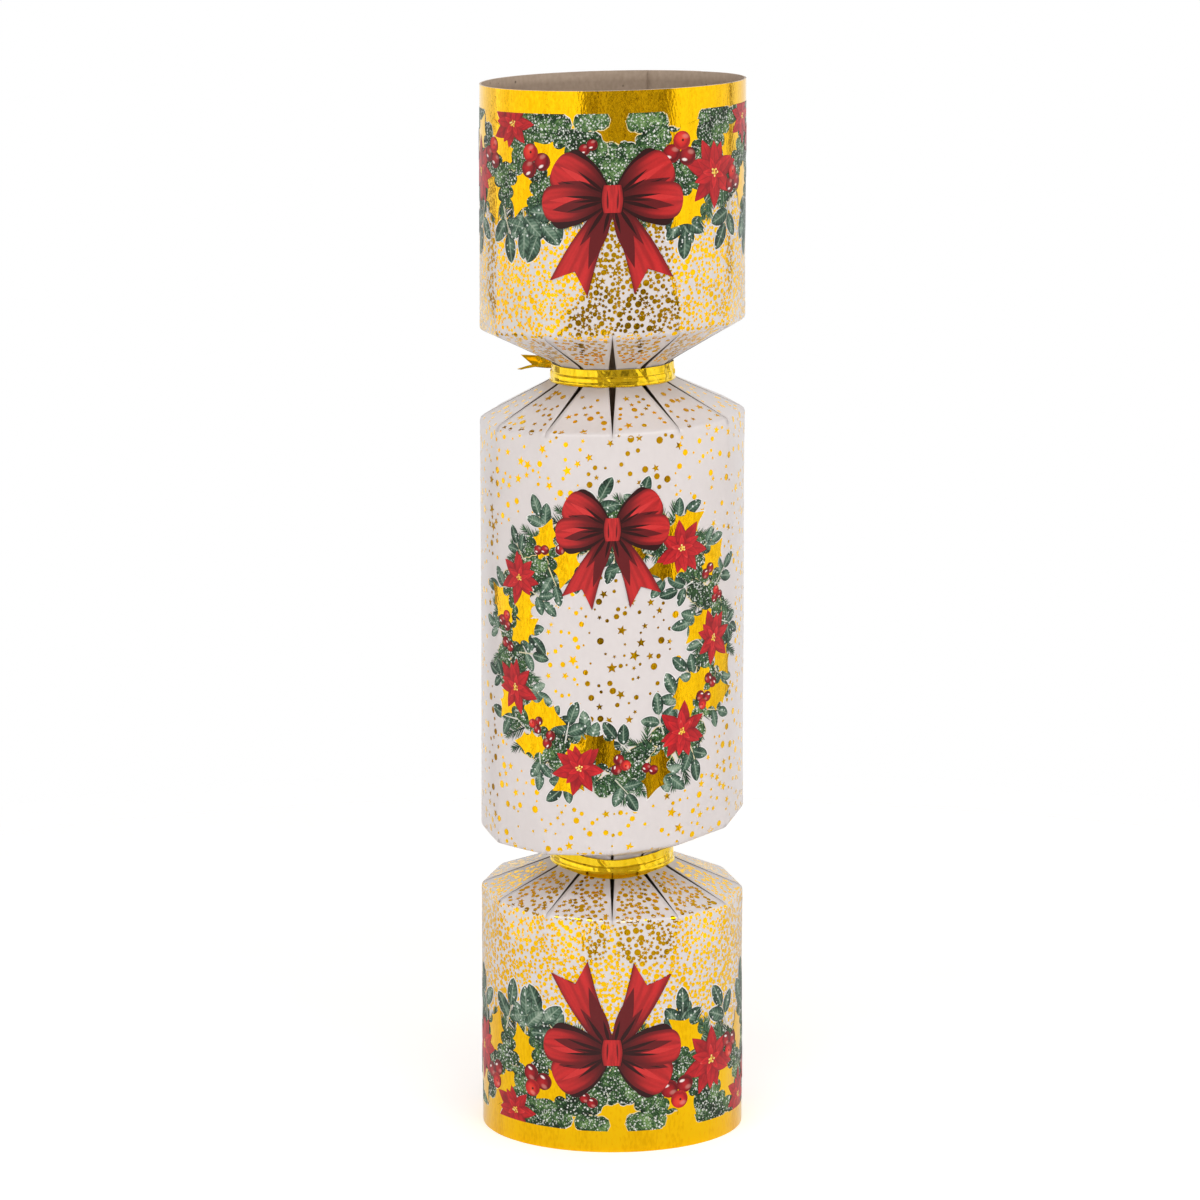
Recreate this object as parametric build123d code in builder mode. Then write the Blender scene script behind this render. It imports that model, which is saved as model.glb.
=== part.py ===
from build123d import *
import os
from math import atan2, cos, pi, radians, sin, sqrt, tan

# A Christmas cracker standing on one open end. The origin is the centre of the lower rim,
# +Z runs up the axis and the printed front faces -Y. All sizes are in millimetres.

# Tie: a foil ribbon pulled tight round each choke and knotted behind it
TIE_WIDTH = 3.0           # height of the drawn-in ribbon
TIE_WALL = 0.45           # flat upper half of the ribbon
TIE_ROLL = 1.0            # rolled lower half, how far it stands out
TIE_CLEAR = 0.1           # between the ribbon and the card
KNOT_R = 1.5
UPPER_KNOT = 135.0        # behind the left side, in degrees from +X
LOWER_KNOT = 105.0        # out of sight at the back
TAIL_LENGTH = 10.0
TAIL_WIDTH = 2.4
TAIL_FOIL = 0.25
TAIL_SPREAD = 50.0        # degrees from straight out to each tail

# Card wrap: one printed sheet rolled into a tube, slit and folded in at two chokes
CARD = 0.35               # board thickness
PANELS = 12               # folded panels round each choke
TUBE_R = 26.0             # corner radius outside the rolled tube
TUBE_BULGE = 0.6          # roundness of the tube's sides: 0 is flat, 1 a true circle
SLEEVE_LENGTH = 48.0      # open end tube, rim to crease
BARREL_LENGTH = 80.0      # middle tube, crease to crease
NECK_RISE = 6.4           # height of the sloping panels
WAIST_R = 11.75           # corner radius outside the waist
CREASE_BLEND = 14.0       # tube length over which the flat crease turns round
TEAR_GAP = 0.2            # the perforated line where the wrap tears
SLIT_WAIST = 1.0          # slit width at the waist
SLIT_TIP = 0.25           # slit width at the crease
SLIT_OVERRUN = 1.0        # how far a slit runs on past its crease
SEAM_LAP = 12.0           # glued lap inside the back of the wrap
SEAM_START = 16.0         # degrees from the back to the free edge of the lap

# Snap: two overlapping card strips, primed where they rub, in a paper guard
SNAP_WIDTH = 8.0
SNAP_CARD = 0.25
SNAP_GAP = 0.3            # between the two strips
SNAP_OVERLAP = 28.0
SNAP_BEND = 3.0           # radius of each bend in a strip
SNAP_LEAVE = 6.0          # straight run past the crease before a strip bends away
SNAP_NECK_CLEAR = 0.5     # between the guard and the card at the waist
PRIMING = 0.06            # thickness of the charge and of the grit
PRIMING_LENGTH = 8.0
PRIMING_INSET = 2.0       # from the end of the strip
GUARD_PAPER = 0.12
GUARD_LENGTH = 24.0
GUARD_CLEAR = 0.15        # round the sliding strip
GLUE_INSET = 8.0          # from the rim to the end of the strip
GLUE_LENGTH = 12.0
GLUE_WIDTH = 6.0
GLUE_CLEAR = 0.02
WALL_CLEAR = 0.1          # from a strip's edges to the card

# Contents lying loose in the barrel: a rolled paper hat, its motto and a spinning top
HAT_R = 8.5
HAT_CORE_R = 3.2
HAT_LENGTH = 46.0
HAT_BAND_WALL = 0.3
HAT_BAND_WIDTH = 5.0
MOTTO_WALL = 0.6
MOTTO_LENGTH = 40.0
MOTTO_CLEAR = 0.2
TOP_R = 9.5
TOP_RIM = 3.0
TOP_FOOT_R = 2.6
TOP_FOOT_LIFT = 3.0       # from the point to the bottom of the body
TOP_CONE = 6.0            # height of the cone under the rim
TOP_SHOULDER = 7.0        # height of the dome over the rim
TOP_CROWN_R = 3.4
SPINDLE_R = 1.3
SPINDLE_LENGTH = 31.0
SPINDLE_POINT = 2.4
SPINDLE_EASE = 0.5        # chamfer round the upper end
SPINDLE_FIT = 0.02
CONTENTS_CLEAR = 0.3      # between the contents and the card

# Places that follow from the sizes
HALF_PANEL = pi / PANELS
FLAT = cos(HALF_PANEL)    # middle of a flat panel as a share of its corner radius
WAIST_BAND = TIE_WIDTH + 2 * TIE_CLEAR
HALF_WAIST = WAIST_BAND / 2
HALF_NECK = HALF_WAIST + NECK_RISE
LOWER_TEAR = SLEEVE_LENGTH + HALF_NECK
UPPER_TEAR = LOWER_TEAR + 2 * HALF_NECK + BARREL_LENGTH
TOTAL = UPPER_TEAR + HALF_NECK + SLEEVE_LENGTH
MIDDLE = TOTAL / 2
FOLD = atan2((TUBE_R - WAIST_R) * FLAT, NECK_RISE)
FOLD_SHIFT = CARD * tan(FOLD / 2)
TUBE_WALL = TUBE_R * FLAT - CARD
WAIST_WALL = WAIST_R * FLAT - CARD


def ring(height, corner_r, bulge, skin):
    """A closed section of the wrap at one height, taken in by skin from its outside."""
    corner = corner_r - skin / cos(HALF_PANEL * (1 - bulge))
    middle = corner_r * (FLAT + bulge * (1 - FLAT)) - skin
    with BuildSketch(Plane.XY.offset(height)) as section:
        with BuildLine():
            for panel in range(PANELS):
                angle = 2 * HALF_PANEL * panel - pi / 2
                start = Vector(corner * cos(angle), corner * sin(angle))
                centre = Vector(middle, 0).rotate(Axis.Z, (angle + HALF_PANEL) * 180 / pi)
                end = start.rotate(Axis.Z, 360 / PANELS)
                if bulge > 0:
                    ThreePointArc(start, centre, end)
                else:
                    Line(start, end)
        make_face()
    return section.sketch


def neck_rings(tear, way, skin):
    """Sections from a tear line to the round tube, which lies above it (way 1) or below (-1)."""
    shift = FOLD_SHIFT * skin / CARD
    return [
        ring(tear + way * TEAR_GAP / 2, WAIST_R, 0, skin),
        ring(tear + way * (HALF_WAIST + shift), WAIST_R, 0, skin),
        ring(tear + way * (HALF_NECK + shift), TUBE_R, 0, skin),
        ring(tear + way * (HALF_NECK + CREASE_BLEND), TUBE_R, TUBE_BULGE, skin),
    ]


def barrel_rings(skin):
    return neck_rings(LOWER_TEAR, 1, skin) + neck_rings(UPPER_TEAR, -1, skin)[::-1]


def upper_rings(skin):
    return neck_rings(UPPER_TEAR, 1, skin) + [ring(TOTAL, TUBE_R, TUBE_BULGE, skin)]


def lower_rings(skin):
    return neck_rings(LOWER_TEAR, -1, skin) + [ring(0, TUBE_R, TUBE_BULGE, skin)]


def seam_lap(tube_rings, low, high):
    """The second layer of card where the sheet is glued to itself, between two heights."""
    lap_end = radians(90 - SEAM_START)
    lap_begin = lap_end - SEAM_LAP / TUBE_R
    reach = 2 * TUBE_R
    with BuildPart() as lap:
        loft(sections=tube_rings(CARD / 2), ruled=True)
        loft(sections=tube_rings(2 * CARD), ruled=True, mode=Mode.SUBTRACT)
        with BuildSketch(Plane.XY.offset(low)):
            with BuildLine():
                Polyline(
                    (0, 0),
                    (reach * cos(lap_begin), reach * sin(lap_begin)),
                    (reach * cos(lap_end), reach * sin(lap_end)),
                    close=True,
                )
            make_face()
        extrude(amount=high - low, mode=Mode.INTERSECT)
    return lap.part


def slit_blade(tear, way):
    """The cut at the front of a neck: widest at the waist and closed just past the crease."""
    with BuildPart() as blade:
        with BuildSketch(Plane.XZ):
            with BuildLine():
                Polyline(
                    (-SLIT_WAIST / 2, tear),
                    (-SLIT_WAIST / 2, tear + way * HALF_WAIST),
                    (-SLIT_TIP / 2, tear + way * HALF_NECK),
                    (0, tear + way * (HALF_NECK + SLIT_OVERRUN)),
                    (SLIT_TIP / 2, tear + way * HALF_NECK),
                    (SLIT_WAIST / 2, tear + way * HALF_WAIST),
                    (SLIT_WAIST / 2, tear),
                    close=True,
                )
            make_face()
        extrude(amount=TUBE_R + CARD)
    return blade.part


# Card wrap
with BuildPart() as barrel_wrap:
    loft(sections=barrel_rings(0), ruled=True)
    loft(sections=barrel_rings(CARD), ruled=True, mode=Mode.SUBTRACT)
    add(seam_lap(barrel_rings, LOWER_TEAR + HALF_NECK, UPPER_TEAR - HALF_NECK))
    with PolarLocations(0, PANELS):
        add(slit_blade(LOWER_TEAR, 1), mode=Mode.SUBTRACT)
        add(slit_blade(UPPER_TEAR, -1), mode=Mode.SUBTRACT)

with BuildPart() as upper_end_sleeve:
    loft(sections=upper_rings(0), ruled=True)
    loft(sections=upper_rings(CARD), ruled=True, mode=Mode.SUBTRACT)
    add(seam_lap(upper_rings, UPPER_TEAR + HALF_NECK, TOTAL))
    with PolarLocations(0, PANELS):
        add(slit_blade(UPPER_TEAR, 1), mode=Mode.SUBTRACT)

with BuildPart() as lower_end_sleeve:
    loft(sections=lower_rings(0), ruled=True)
    loft(sections=lower_rings(CARD), ruled=True, mode=Mode.SUBTRACT)
    add(seam_lap(lower_rings, 0, LOWER_TEAR - HALF_NECK))
    with PolarLocations(0, PANELS):
        add(slit_blade(LOWER_TEAR, -1), mode=Mode.SUBTRACT)


# Ribbon ties
def ribbon_tie(tear, knot_angle):
    """A foil ribbon round the waist: flat above, rolled below, with its knot and two tails."""
    inner = WAIST_R + TIE_CLEAR
    half = TIE_WIDTH / 2
    knot_turn = radians(knot_angle)
    knot_reach = inner + TIE_ROLL
    knot = Vector(knot_reach * cos(knot_turn), knot_reach * sin(knot_turn), tear)
    with BuildPart() as tie:
        with BuildSketch(Plane.XZ):
            with BuildLine():
                ThreePointArc(
                    (inner, tear - half),
                    (inner + TIE_ROLL, tear - half / 2),
                    (inner + TIE_WALL, tear),
                )
                Polyline(
                    (inner + TIE_WALL, tear),
                    (inner + TIE_WALL, tear + half),
                    (inner, tear + half),
                    (inner, tear - half),
                )
            make_face()
        revolve(axis=Axis.Z)
        with Locations(knot):
            Sphere(KNOT_R)
        for side in (1, -1):
            heading = radians(knot_angle + side * TAIL_SPREAD)
            along = (cos(heading), sin(heading), 0)
            across = (sin(heading), -cos(heading), 0)
            with BuildSketch(Plane(origin=knot, x_dir=along, z_dir=across)):
                with BuildLine():
                    Polyline(
                        (0, -TAIL_WIDTH / 2),
                        (TAIL_LENGTH - TAIL_WIDTH, -TAIL_WIDTH / 2),
                        (TAIL_LENGTH, TAIL_WIDTH / 2),
                        (0, TAIL_WIDTH / 2),
                        close=True,
                    )
                make_face()
            extrude(amount=TAIL_FOIL / 2, both=True)
    return tie.part


upper_tie_ribbon = ribbon_tie(UPPER_TEAR, UPPER_KNOT)
lower_tie_ribbon = ribbon_tie(LOWER_TEAR, LOWER_KNOT)

# Snap, lying flat behind the contents and just inside the waist
GUARD_WIDTH = SNAP_WIDTH + 2 * (GUARD_CLEAR + GUARD_PAPER)
SNAP_STACK = 2 * SNAP_CARD + SNAP_GAP
GUARD_DEPTH = SNAP_STACK + GUARD_CLEAR + 2 * GUARD_PAPER
GUARD_BACK = sqrt((WAIST_WALL - SNAP_NECK_CLEAR) ** 2 - (GUARD_WIDTH / 2) ** 2)
GUARD_FRONT = GUARD_BACK - GUARD_DEPTH
FRONT_STRIP = GUARD_FRONT + GUARD_PAPER
BACK_STRIP = FRONT_STRIP + SNAP_CARD + SNAP_GAP
STRIP_WALL = (TUBE_WALL - SNAP_WIDTH / 2 * sin(HALF_PANEL)) / FLAT - WALL_CLEAR


def snap_strip(front, rim, way):
    """A card strip from the middle of the barrel out through a neck to the wall of a sleeve."""
    core = front + SNAP_CARD / 2
    wall = STRIP_WALL - SNAP_CARD / 2
    bend = rim - way * (SLEEVE_LENGTH - SNAP_LEAVE)
    with BuildPart() as strip:
        with BuildSketch(Plane.YZ):
            with BuildLine():
                FilletPolyline(
                    (core, MIDDLE - way * SNAP_OVERLAP / 2),
                    (core, bend),
                    (wall, rim - way * (GLUE_INSET + GLUE_LENGTH)),
                    (wall, rim - way * GLUE_INSET),
                    radius=SNAP_BEND,
                )
            trace(line_width=SNAP_CARD)
        extrude(amount=SNAP_WIDTH / 2, both=True)
    return strip.part


def priming_patch(front, end, way):
    """A thin rubbing patch on the face of a strip, near that strip's inner end."""
    with BuildPart() as patch:
        with BuildSketch(Plane.XZ.offset(-front)):
            with Locations((0, end + way * (PRIMING_INSET + PRIMING_LENGTH / 2))):
                Rectangle(SNAP_WIDTH - 2 * PRIMING_INSET, PRIMING_LENGTH)
        extrude(amount=-PRIMING)
    return patch.part


def glue_dab(sleeve_rings, rim, way):
    """Hot glue between the end of a strip and the curved wall of its sleeve."""
    with BuildPart() as dab:
        loft(sections=sleeve_rings(CARD + GLUE_CLEAR), ruled=True)
        with BuildSketch(Plane.XZ.offset(-STRIP_WALL)):
            with Locations((0, rim - way * (GLUE_INSET + GLUE_LENGTH / 2))):
                SlotOverall(GLUE_LENGTH - SNAP_BEND, GLUE_WIDTH, rotation=90)
        extrude(amount=-TUBE_R, mode=Mode.INTERSECT)
    return dab.part


snap_upper_strip = snap_strip(BACK_STRIP, TOTAL, 1)
snap_lower_strip = snap_strip(FRONT_STRIP, 0, -1)
snap_charge_patch = priming_patch(BACK_STRIP - PRIMING, MIDDLE - SNAP_OVERLAP / 2, 1)
snap_grit_patch = priming_patch(FRONT_STRIP + SNAP_CARD, MIDDLE + SNAP_OVERLAP / 2, -1)
upper_glue_dab = glue_dab(upper_rings, TOTAL, 1)
lower_glue_dab = glue_dab(lower_rings, 0, -1)

with BuildPart() as snap_guard_sleeve:
    with BuildSketch(Plane.XY.offset(MIDDLE - GUARD_LENGTH / 2)):
        with Locations((0, GUARD_FRONT + GUARD_DEPTH / 2)):
            Rectangle(GUARD_WIDTH, GUARD_DEPTH)
            Rectangle(GUARD_WIDTH - 2 * GUARD_PAPER, GUARD_DEPTH - 2 * GUARD_PAPER, mode=Mode.SUBTRACT)
    extrude(amount=GUARD_LENGTH)


# Contents, standing on the lower neck against the left and right of the barrel
def neck_floor(reach):
    """Height of the card inside the lower neck, at a distance from the axis."""
    share = (reach - WAIST_WALL) / (TUBE_WALL - WAIST_WALL)
    return LOWER_TEAR + HALF_WAIST + FOLD_SHIFT + share * NECK_RISE


HAT_REACH = TUBE_WALL - CONTENTS_CLEAR - HAT_BAND_WALL - HAT_R
HAT_X = -HAT_REACH * cos(HALF_PANEL)
HAT_Y = -HAT_REACH * sin(HALF_PANEL)
HAT_FOOT = neck_floor(HAT_REACH + HAT_R) + CONTENTS_CLEAR
TOP_REACH = TUBE_WALL - CONTENTS_CLEAR - TOP_R
TOP_X = TOP_REACH * cos(HALF_PANEL)
TOP_Y = -TOP_REACH * sin(HALF_PANEL)
TOP_FOOT = neck_floor(TOP_REACH) + CONTENTS_CLEAR


def paper_roll(outer, inner, foot, length):
    """A tube of rolled paper, standing where the hat stands."""
    with BuildPart() as roll:
        with BuildSketch(Plane.XY.offset(foot)):
            with Locations((HAT_X, HAT_Y)):
                Circle(outer)
                Circle(inner, mode=Mode.SUBTRACT)
        extrude(amount=length)
    return roll.part


paper_hat = paper_roll(HAT_R, HAT_CORE_R, HAT_FOOT, HAT_LENGTH)
hat_band = paper_roll(
    HAT_R + HAT_BAND_WALL,
    HAT_R,
    HAT_FOOT + (HAT_LENGTH - HAT_BAND_WIDTH) / 2,
    HAT_BAND_WIDTH,
)
motto_slip = paper_roll(
    HAT_CORE_R - MOTTO_CLEAR,
    HAT_CORE_R - MOTTO_CLEAR - MOTTO_WALL,
    HAT_FOOT + (HAT_LENGTH - MOTTO_LENGTH) / 2,
    MOTTO_LENGTH,
)

RIM_LOW = TOP_FOOT_LIFT + TOP_CONE
RIM_HIGH = RIM_LOW + TOP_RIM
CROWN = RIM_HIGH + TOP_SHOULDER
SPINDLE_BORE = SPINDLE_R + SPINDLE_FIT
spindle_axis = Axis((TOP_X, TOP_Y, 0), (0, 0, 1))

with BuildPart() as top_body:
    with BuildSketch(Plane((TOP_X, TOP_Y, TOP_FOOT), x_dir=(1, 0, 0), z_dir=(0, -1, 0))):
        with BuildLine():
            Polyline(
                (SPINDLE_BORE, CROWN),
                (SPINDLE_BORE, TOP_FOOT_LIFT),
                (TOP_FOOT_R, TOP_FOOT_LIFT),
                (TOP_R, RIM_LOW),
                (TOP_R, RIM_HIGH),
            )
            ThreePointArc(
                (TOP_R, RIM_HIGH),
                ((TOP_R + TOP_CROWN_R) / 2, RIM_HIGH + TOP_SHOULDER * 0.7),
                (TOP_CROWN_R, CROWN),
            )
            Line((TOP_CROWN_R, CROWN), (SPINDLE_BORE, CROWN))
        make_face()
    revolve(axis=spindle_axis)

with BuildPart() as top_spindle:
    with BuildSketch(Plane((TOP_X, TOP_Y, TOP_FOOT), x_dir=(1, 0, 0), z_dir=(0, -1, 0))):
        with BuildLine():
            Polyline(
                (0, 0),
                (SPINDLE_R, SPINDLE_POINT),
                (SPINDLE_R, SPINDLE_LENGTH - SPINDLE_EASE),
                (SPINDLE_R - SPINDLE_EASE, SPINDLE_LENGTH),
                (0, SPINDLE_LENGTH),
                close=True,
            )
        make_face()
    revolve(axis=spindle_axis)

pieces = {
    "barrel_wrap": barrel_wrap.part,
    "upper_end_sleeve": upper_end_sleeve.part,
    "lower_end_sleeve": lower_end_sleeve.part,
    "upper_tie_ribbon": upper_tie_ribbon,
    "lower_tie_ribbon": lower_tie_ribbon,
    "snap_upper_strip": snap_upper_strip,
    "snap_lower_strip": snap_lower_strip,
    "snap_charge_patch": snap_charge_patch,
    "snap_grit_patch": snap_grit_patch,
    "snap_guard_sleeve": snap_guard_sleeve.part,
    "upper_glue_dab": upper_glue_dab,
    "lower_glue_dab": lower_glue_dab,
    "paper_hat": paper_hat,
    "hat_band": hat_band,
    "motto_slip": motto_slip,
    "top_body": top_body.part,
    "top_spindle": top_spindle.part,
}

os.makedirs("parts", exist_ok=True)
for name, piece in pieces.items():
    piece.label = name
    export_step(piece, f"parts/{name}.step")
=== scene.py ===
"""Looks of a card christmas cracker: folded card, foil and ink print, tied ribbons and what it holds."""
import functools
import math
import random
from collections import namedtuple

import bmesh
import bpy
from mathutils import Matrix, Vector
from mathutils import noise as crumple


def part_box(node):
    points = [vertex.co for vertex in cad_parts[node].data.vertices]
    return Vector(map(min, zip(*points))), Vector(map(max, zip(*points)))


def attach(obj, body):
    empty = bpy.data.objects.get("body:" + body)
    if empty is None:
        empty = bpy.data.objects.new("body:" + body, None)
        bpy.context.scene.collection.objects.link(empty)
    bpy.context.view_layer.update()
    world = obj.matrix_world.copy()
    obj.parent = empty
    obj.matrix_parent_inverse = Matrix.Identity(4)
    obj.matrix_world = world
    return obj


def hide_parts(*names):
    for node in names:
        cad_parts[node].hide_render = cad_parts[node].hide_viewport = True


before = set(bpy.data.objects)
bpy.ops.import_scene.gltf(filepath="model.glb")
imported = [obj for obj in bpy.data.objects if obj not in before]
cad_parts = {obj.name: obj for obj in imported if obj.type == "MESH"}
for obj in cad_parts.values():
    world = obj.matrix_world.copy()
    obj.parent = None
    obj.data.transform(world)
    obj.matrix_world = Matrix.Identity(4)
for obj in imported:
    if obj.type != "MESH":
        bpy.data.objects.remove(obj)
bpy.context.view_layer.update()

# Sizes in mm, as the solids have them
MM = 0.001
CARD = 0.35
PANELS = 12
PANEL_ANGLE = 2 * math.pi / PANELS
FLAT = math.cos(PANEL_ANGLE / 2)
TUBE_R = 26.0
WAIST_R = 11.75
NECK_RISE = 6.4
SLANT = math.hypot((TUBE_R - WAIST_R) * FLAT, NECK_RISE)
HALF_WAIST = 1.6
TEAR_GAP = 0.2
CREASE_BLEND = 14.0
CREASE_ROUND = 12.0
CREASE_EASE = 0.7
SLIT_OVERRUN = 1.0
FRONT_SLITS = {"upper_sleeve": (1.5,), "barrel": (0.6, 1.5), "lower_sleeve": (1.1,)}
SIDE_SLITS = (0.8, 1.2)
SLEEVE_LENGTH = 48.0
BARREL_LENGTH = 80.0
LAP_EDGE = math.radians(137.5)
LAP_END = math.radians(164.0)
LAP_FALL = math.radians(22.0)
HALF_TURN = math.pi * TUBE_R
BAND = 4.4
FOIL_DEPTH = 13.0
WREATH_HEIGHT = 39.4
LAP_GAP = 0.03
TIE_R = WAIST_R + 0.12
KNOT_R = 12.85

# How far a hand-made fold stands off its level, in mm: all round, at the front and at the right
Lean = namedtuple("Lean", "level front right")
LEVEL = Lean(0.0, 0.0, 0.0)
UPPER_WAIST = Lean(-0.3, -0.2, 0.22)
LOWER_WAIST = Lean(-0.6, -0.6, 0.0)

# A section's folds and waists are listed from its near end to its far end
Section = namedtuple("Section", "piece body node crease way length necks folds waists")
UPPER = Section(
    "upper_sleeve", "upper_end", "upper_end_sleeve", 160.0, 1, SLEEVE_LENGTH, 1,
    (Lean(0.55, 0.35, 1.15), Lean(0.1, 0.3, 0.6)), (UPPER_WAIST,),
)
BARREL = Section(
    "barrel", "barrel", "barrel_wrap", 64.0, 1, BARREL_LENGTH, 2,
    (Lean(-2.1, -2.1, 1.9), Lean(-0.9, -0.7, 0.9)), (LOWER_WAIST, UPPER_WAIST),
)
LOWER = Section(
    "lower_sleeve", "lower_end", "lower_end_sleeve", 48.0, -1, SLEEVE_LENGTH, 1,
    (Lean(0.05, -1.45, -0.4), LEVEL), (LOWER_WAIST,),
)
Tie = namedtuple("Tie", "name height knot_turn waist dip")
TIES = (
    Tie("upper_tie", 152.0, math.radians(-135), UPPER_WAIST, 0.0),
    Tie("lower_tie", 56.0, math.radians(-165), LOWER_WAIST, 0.7),
)


def smooth(value):
    value = min(max(value, 0.0), 1.0)
    return value * value * (3 - 2 * value)


# Node helpers
def wire(tree, kind, inputs=None, **settings):
    made = tree.nodes.new(kind)
    for key, value in settings.items():
        setattr(made, key, value)
    for key, value in (inputs or {}).items():
        if isinstance(value, bpy.types.NodeSocket):
            tree.links.new(value, made.inputs[key])
        else:
            made.inputs[key].default_value = value
    return made


def maths(tree, operation, first, second=0.0, clamp=False):
    return wire(
        tree, "ShaderNodeMath", {0: first, 1: second}, operation=operation, use_clamp=clamp
    ).outputs[0]


def ramp(tree, factor, stops):
    made = wire(tree, "ShaderNodeValToRGB", {"Fac": factor})
    points = made.color_ramp.elements
    while len(points) < len(stops):
        points.new(1.0)
    for point, (place, colour) in zip(points, stops):
        point.position = place
        point.color = (*colour, 1.0)
    return made.outputs["Color"]


def blend(tree, factor, first, second, mode="MIX"):
    made = wire(tree, "ShaderNodeMix", data_type="RGBA", blend_type=mode)
    for index, value in ((0, factor), (6, first), (7, second)):
        if isinstance(value, bpy.types.NodeSocket):
            tree.links.new(value, made.inputs[index])
        elif index == 0:
            made.inputs[index].default_value = value
        else:
            made.inputs[index].default_value = (*value, 1.0)
    return made.outputs[2]


def between(tree, value, low, high):
    return wire(
        tree, "ShaderNodeMapRange", {"Value": value, "From Min": low, "From Max": high},
        interpolation_type="SMOOTHSTEP"
    ).outputs["Result"]


def noise(tree, vector, scale, detail=2.0, roughness=0.5):
    return wire(
        tree, "ShaderNodeTexNoise",
        {"Vector": vector, "Scale": scale, "Detail": detail, "Roughness": roughness}
    ).outputs["Fac"]


def object_place(tree, scale=(1.0, 1.0, 1.0), location=(0.0, 0.0, 0.0)):
    place = wire(tree, "ShaderNodeTexCoord").outputs["Object"]
    return wire(
        tree, "ShaderNodeMapping", {"Vector": place, "Scale": scale, "Location": location}
    ).outputs["Vector"]


def new_group(name, inputs, outputs):
    tree = bpy.data.node_groups.new(name, "ShaderNodeTree")
    for label, value in inputs.items():
        socket = tree.interface.new_socket(label, in_out="INPUT", socket_type="NodeSocketFloat")
        socket.default_value = value
    for label in outputs:
        tree.interface.new_socket(label, in_out="OUTPUT", socket_type="NodeSocketFloat")
    given = tree.nodes.new("NodeGroupInput").outputs
    taken = tree.nodes.new("NodeGroupOutput").inputs
    return tree, given, taken


def use_group(tree, group, **inputs):
    made = tree.nodes.new("ShaderNodeGroup")
    made.node_tree = group
    for label, value in inputs.items():
        made.inputs[label].default_value = value
    return made.outputs


def new_finish(name, **sockets):
    finish = bpy.data.materials.new(name)
    finish.use_nodes = True
    shader = finish.node_tree.nodes["Principled BSDF"]
    for label, value in sockets.items():
        shader.inputs[label.replace("_", " ")].default_value = value
    return finish, finish.node_tree, shader.inputs


def bump(tree, height, strength, depth):
    return wire(
        tree, "ShaderNodeBump", {"Height": height, "Strength": strength, "Distance": depth * MM}
    ).outputs["Normal"]


# Effects that several finishes share
def paper_fibre_group():
    tree, given, taken = new_group("paper_fibre", {"Fibre": 900.0, "Cloud": 60.0}, ("Fibre", "Cloud"))
    place = object_place(tree, (1.0, 1.0, 0.7))
    for label in ("Fibre", "Cloud"):
        texture = wire(tree, "ShaderNodeTexNoise", {"Vector": place, "Detail": 4.0})
        tree.links.new(given[label], texture.inputs["Scale"])
        tree.links.new(texture.outputs["Fac"], taken[label])
    return tree


def snow_group():
    tree, given, taken = new_group("snow_specks", {"Scale": 1300.0, "Size": 0.3}, ("Specks",))
    place = object_place(tree)
    cells = wire(tree, "ShaderNodeTexVoronoi", {"Vector": place})
    tree.links.new(given["Scale"], cells.inputs["Scale"])
    chance = wire(tree, "ShaderNodeSeparateColor", {"Color": cells.outputs["Color"]}).outputs["Red"]
    size = maths(tree, "MULTIPLY", chance, given["Size"])
    inside = maths(tree, "SUBTRACT", size, cells.outputs["Distance"])
    tree.links.new(between(tree, inside, 0.0, 0.1), taken["Specks"])
    return tree


def foil_grain_group():
    tree, given, taken = new_group("foil_grain", {"Grain": 2200.0, "Streak": 260.0}, ("Grain", "Streak"))
    for label, tall in (("Grain", 0.4), ("Streak", 0.1)):
        texture = wire(
            tree, "ShaderNodeTexNoise", {"Vector": object_place(tree, (1.0, 1.0, tall)), "Detail": 2.0}
        )
        tree.links.new(given[label], texture.inputs["Scale"])
        tree.links.new(texture.outputs["Fac"], taken[label])
    return tree


PAPER_FIBRE = paper_fibre_group()
SNOW = snow_group()
FOIL_GRAIN = foil_grain_group()


# Finishes of the card, whose cut edges carry a painted shade in the slits as far from the ties as the necks
# reach, in mm
NECK_REACH = (8.0, 11.0)


# Mask of the card near the ties, where the cut edges of the slits get painted shade
def in_necks(tree):
    height = wire(tree, "ShaderNodeSeparateXYZ", {"Vector": object_place(tree)}).outputs["Z"]
    off_ties = (maths(tree, "ABSOLUTE", maths(tree, "SUBTRACT", height, tie.height * MM)) for tie in TIES)
    nearest = maths(tree, "MINIMUM", *off_ties)
    return maths(tree, "SUBTRACT", 1.0, between(tree, nearest, *(reach * MM for reach in NECK_REACH)))


def card_finish(name, dark, pale, fibre=900.0, flecks=0.0, painted_slit_shade=None, **sockets):
    finish, tree, shader = new_finish(name, **sockets)
    paper = use_group(tree, PAPER_FIBRE, Fibre=fibre, Cloud=70.0)
    mixed = maths(
        tree, "ADD", maths(tree, "MULTIPLY", paper["Fibre"], 0.6),
        maths(tree, "MULTIPLY", paper["Cloud"], 0.4),
    )
    colour = ramp(tree, mixed, ((0.32, dark), (0.68, pale)))
    if flecks:
        specks = use_group(tree, SNOW, Scale=420.0, Size=flecks)["Specks"]
        colour = blend(tree, specks, colour, tuple(part * 0.45 for part in dark))
    # Painted shade: the cut edges in the slits near the necks are darkened as if in shadow
    if painted_slit_shade:
        colour = blend(tree, in_necks(tree), colour, painted_slit_shade)
    tree.links.new(colour, shader["Base Color"])
    tree.links.new(bump(tree, paper["Fibre"], 0.12, 0.05), shader["Normal"])
    return finish


def printed_board():
    return card_finish(
        "printed_board", (0.685, 0.647, 0.655), (0.715, 0.677, 0.685), Roughness=0.42, Coat_Weight=0.5,
        Coat_Roughness=0.28
    )


def grey_back():
    return card_finish(
        "grey_board_back", (0.37, 0.285, 0.215), (0.48, 0.38, 0.30), 1400.0, 0.16, Roughness=0.9
    )


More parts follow.
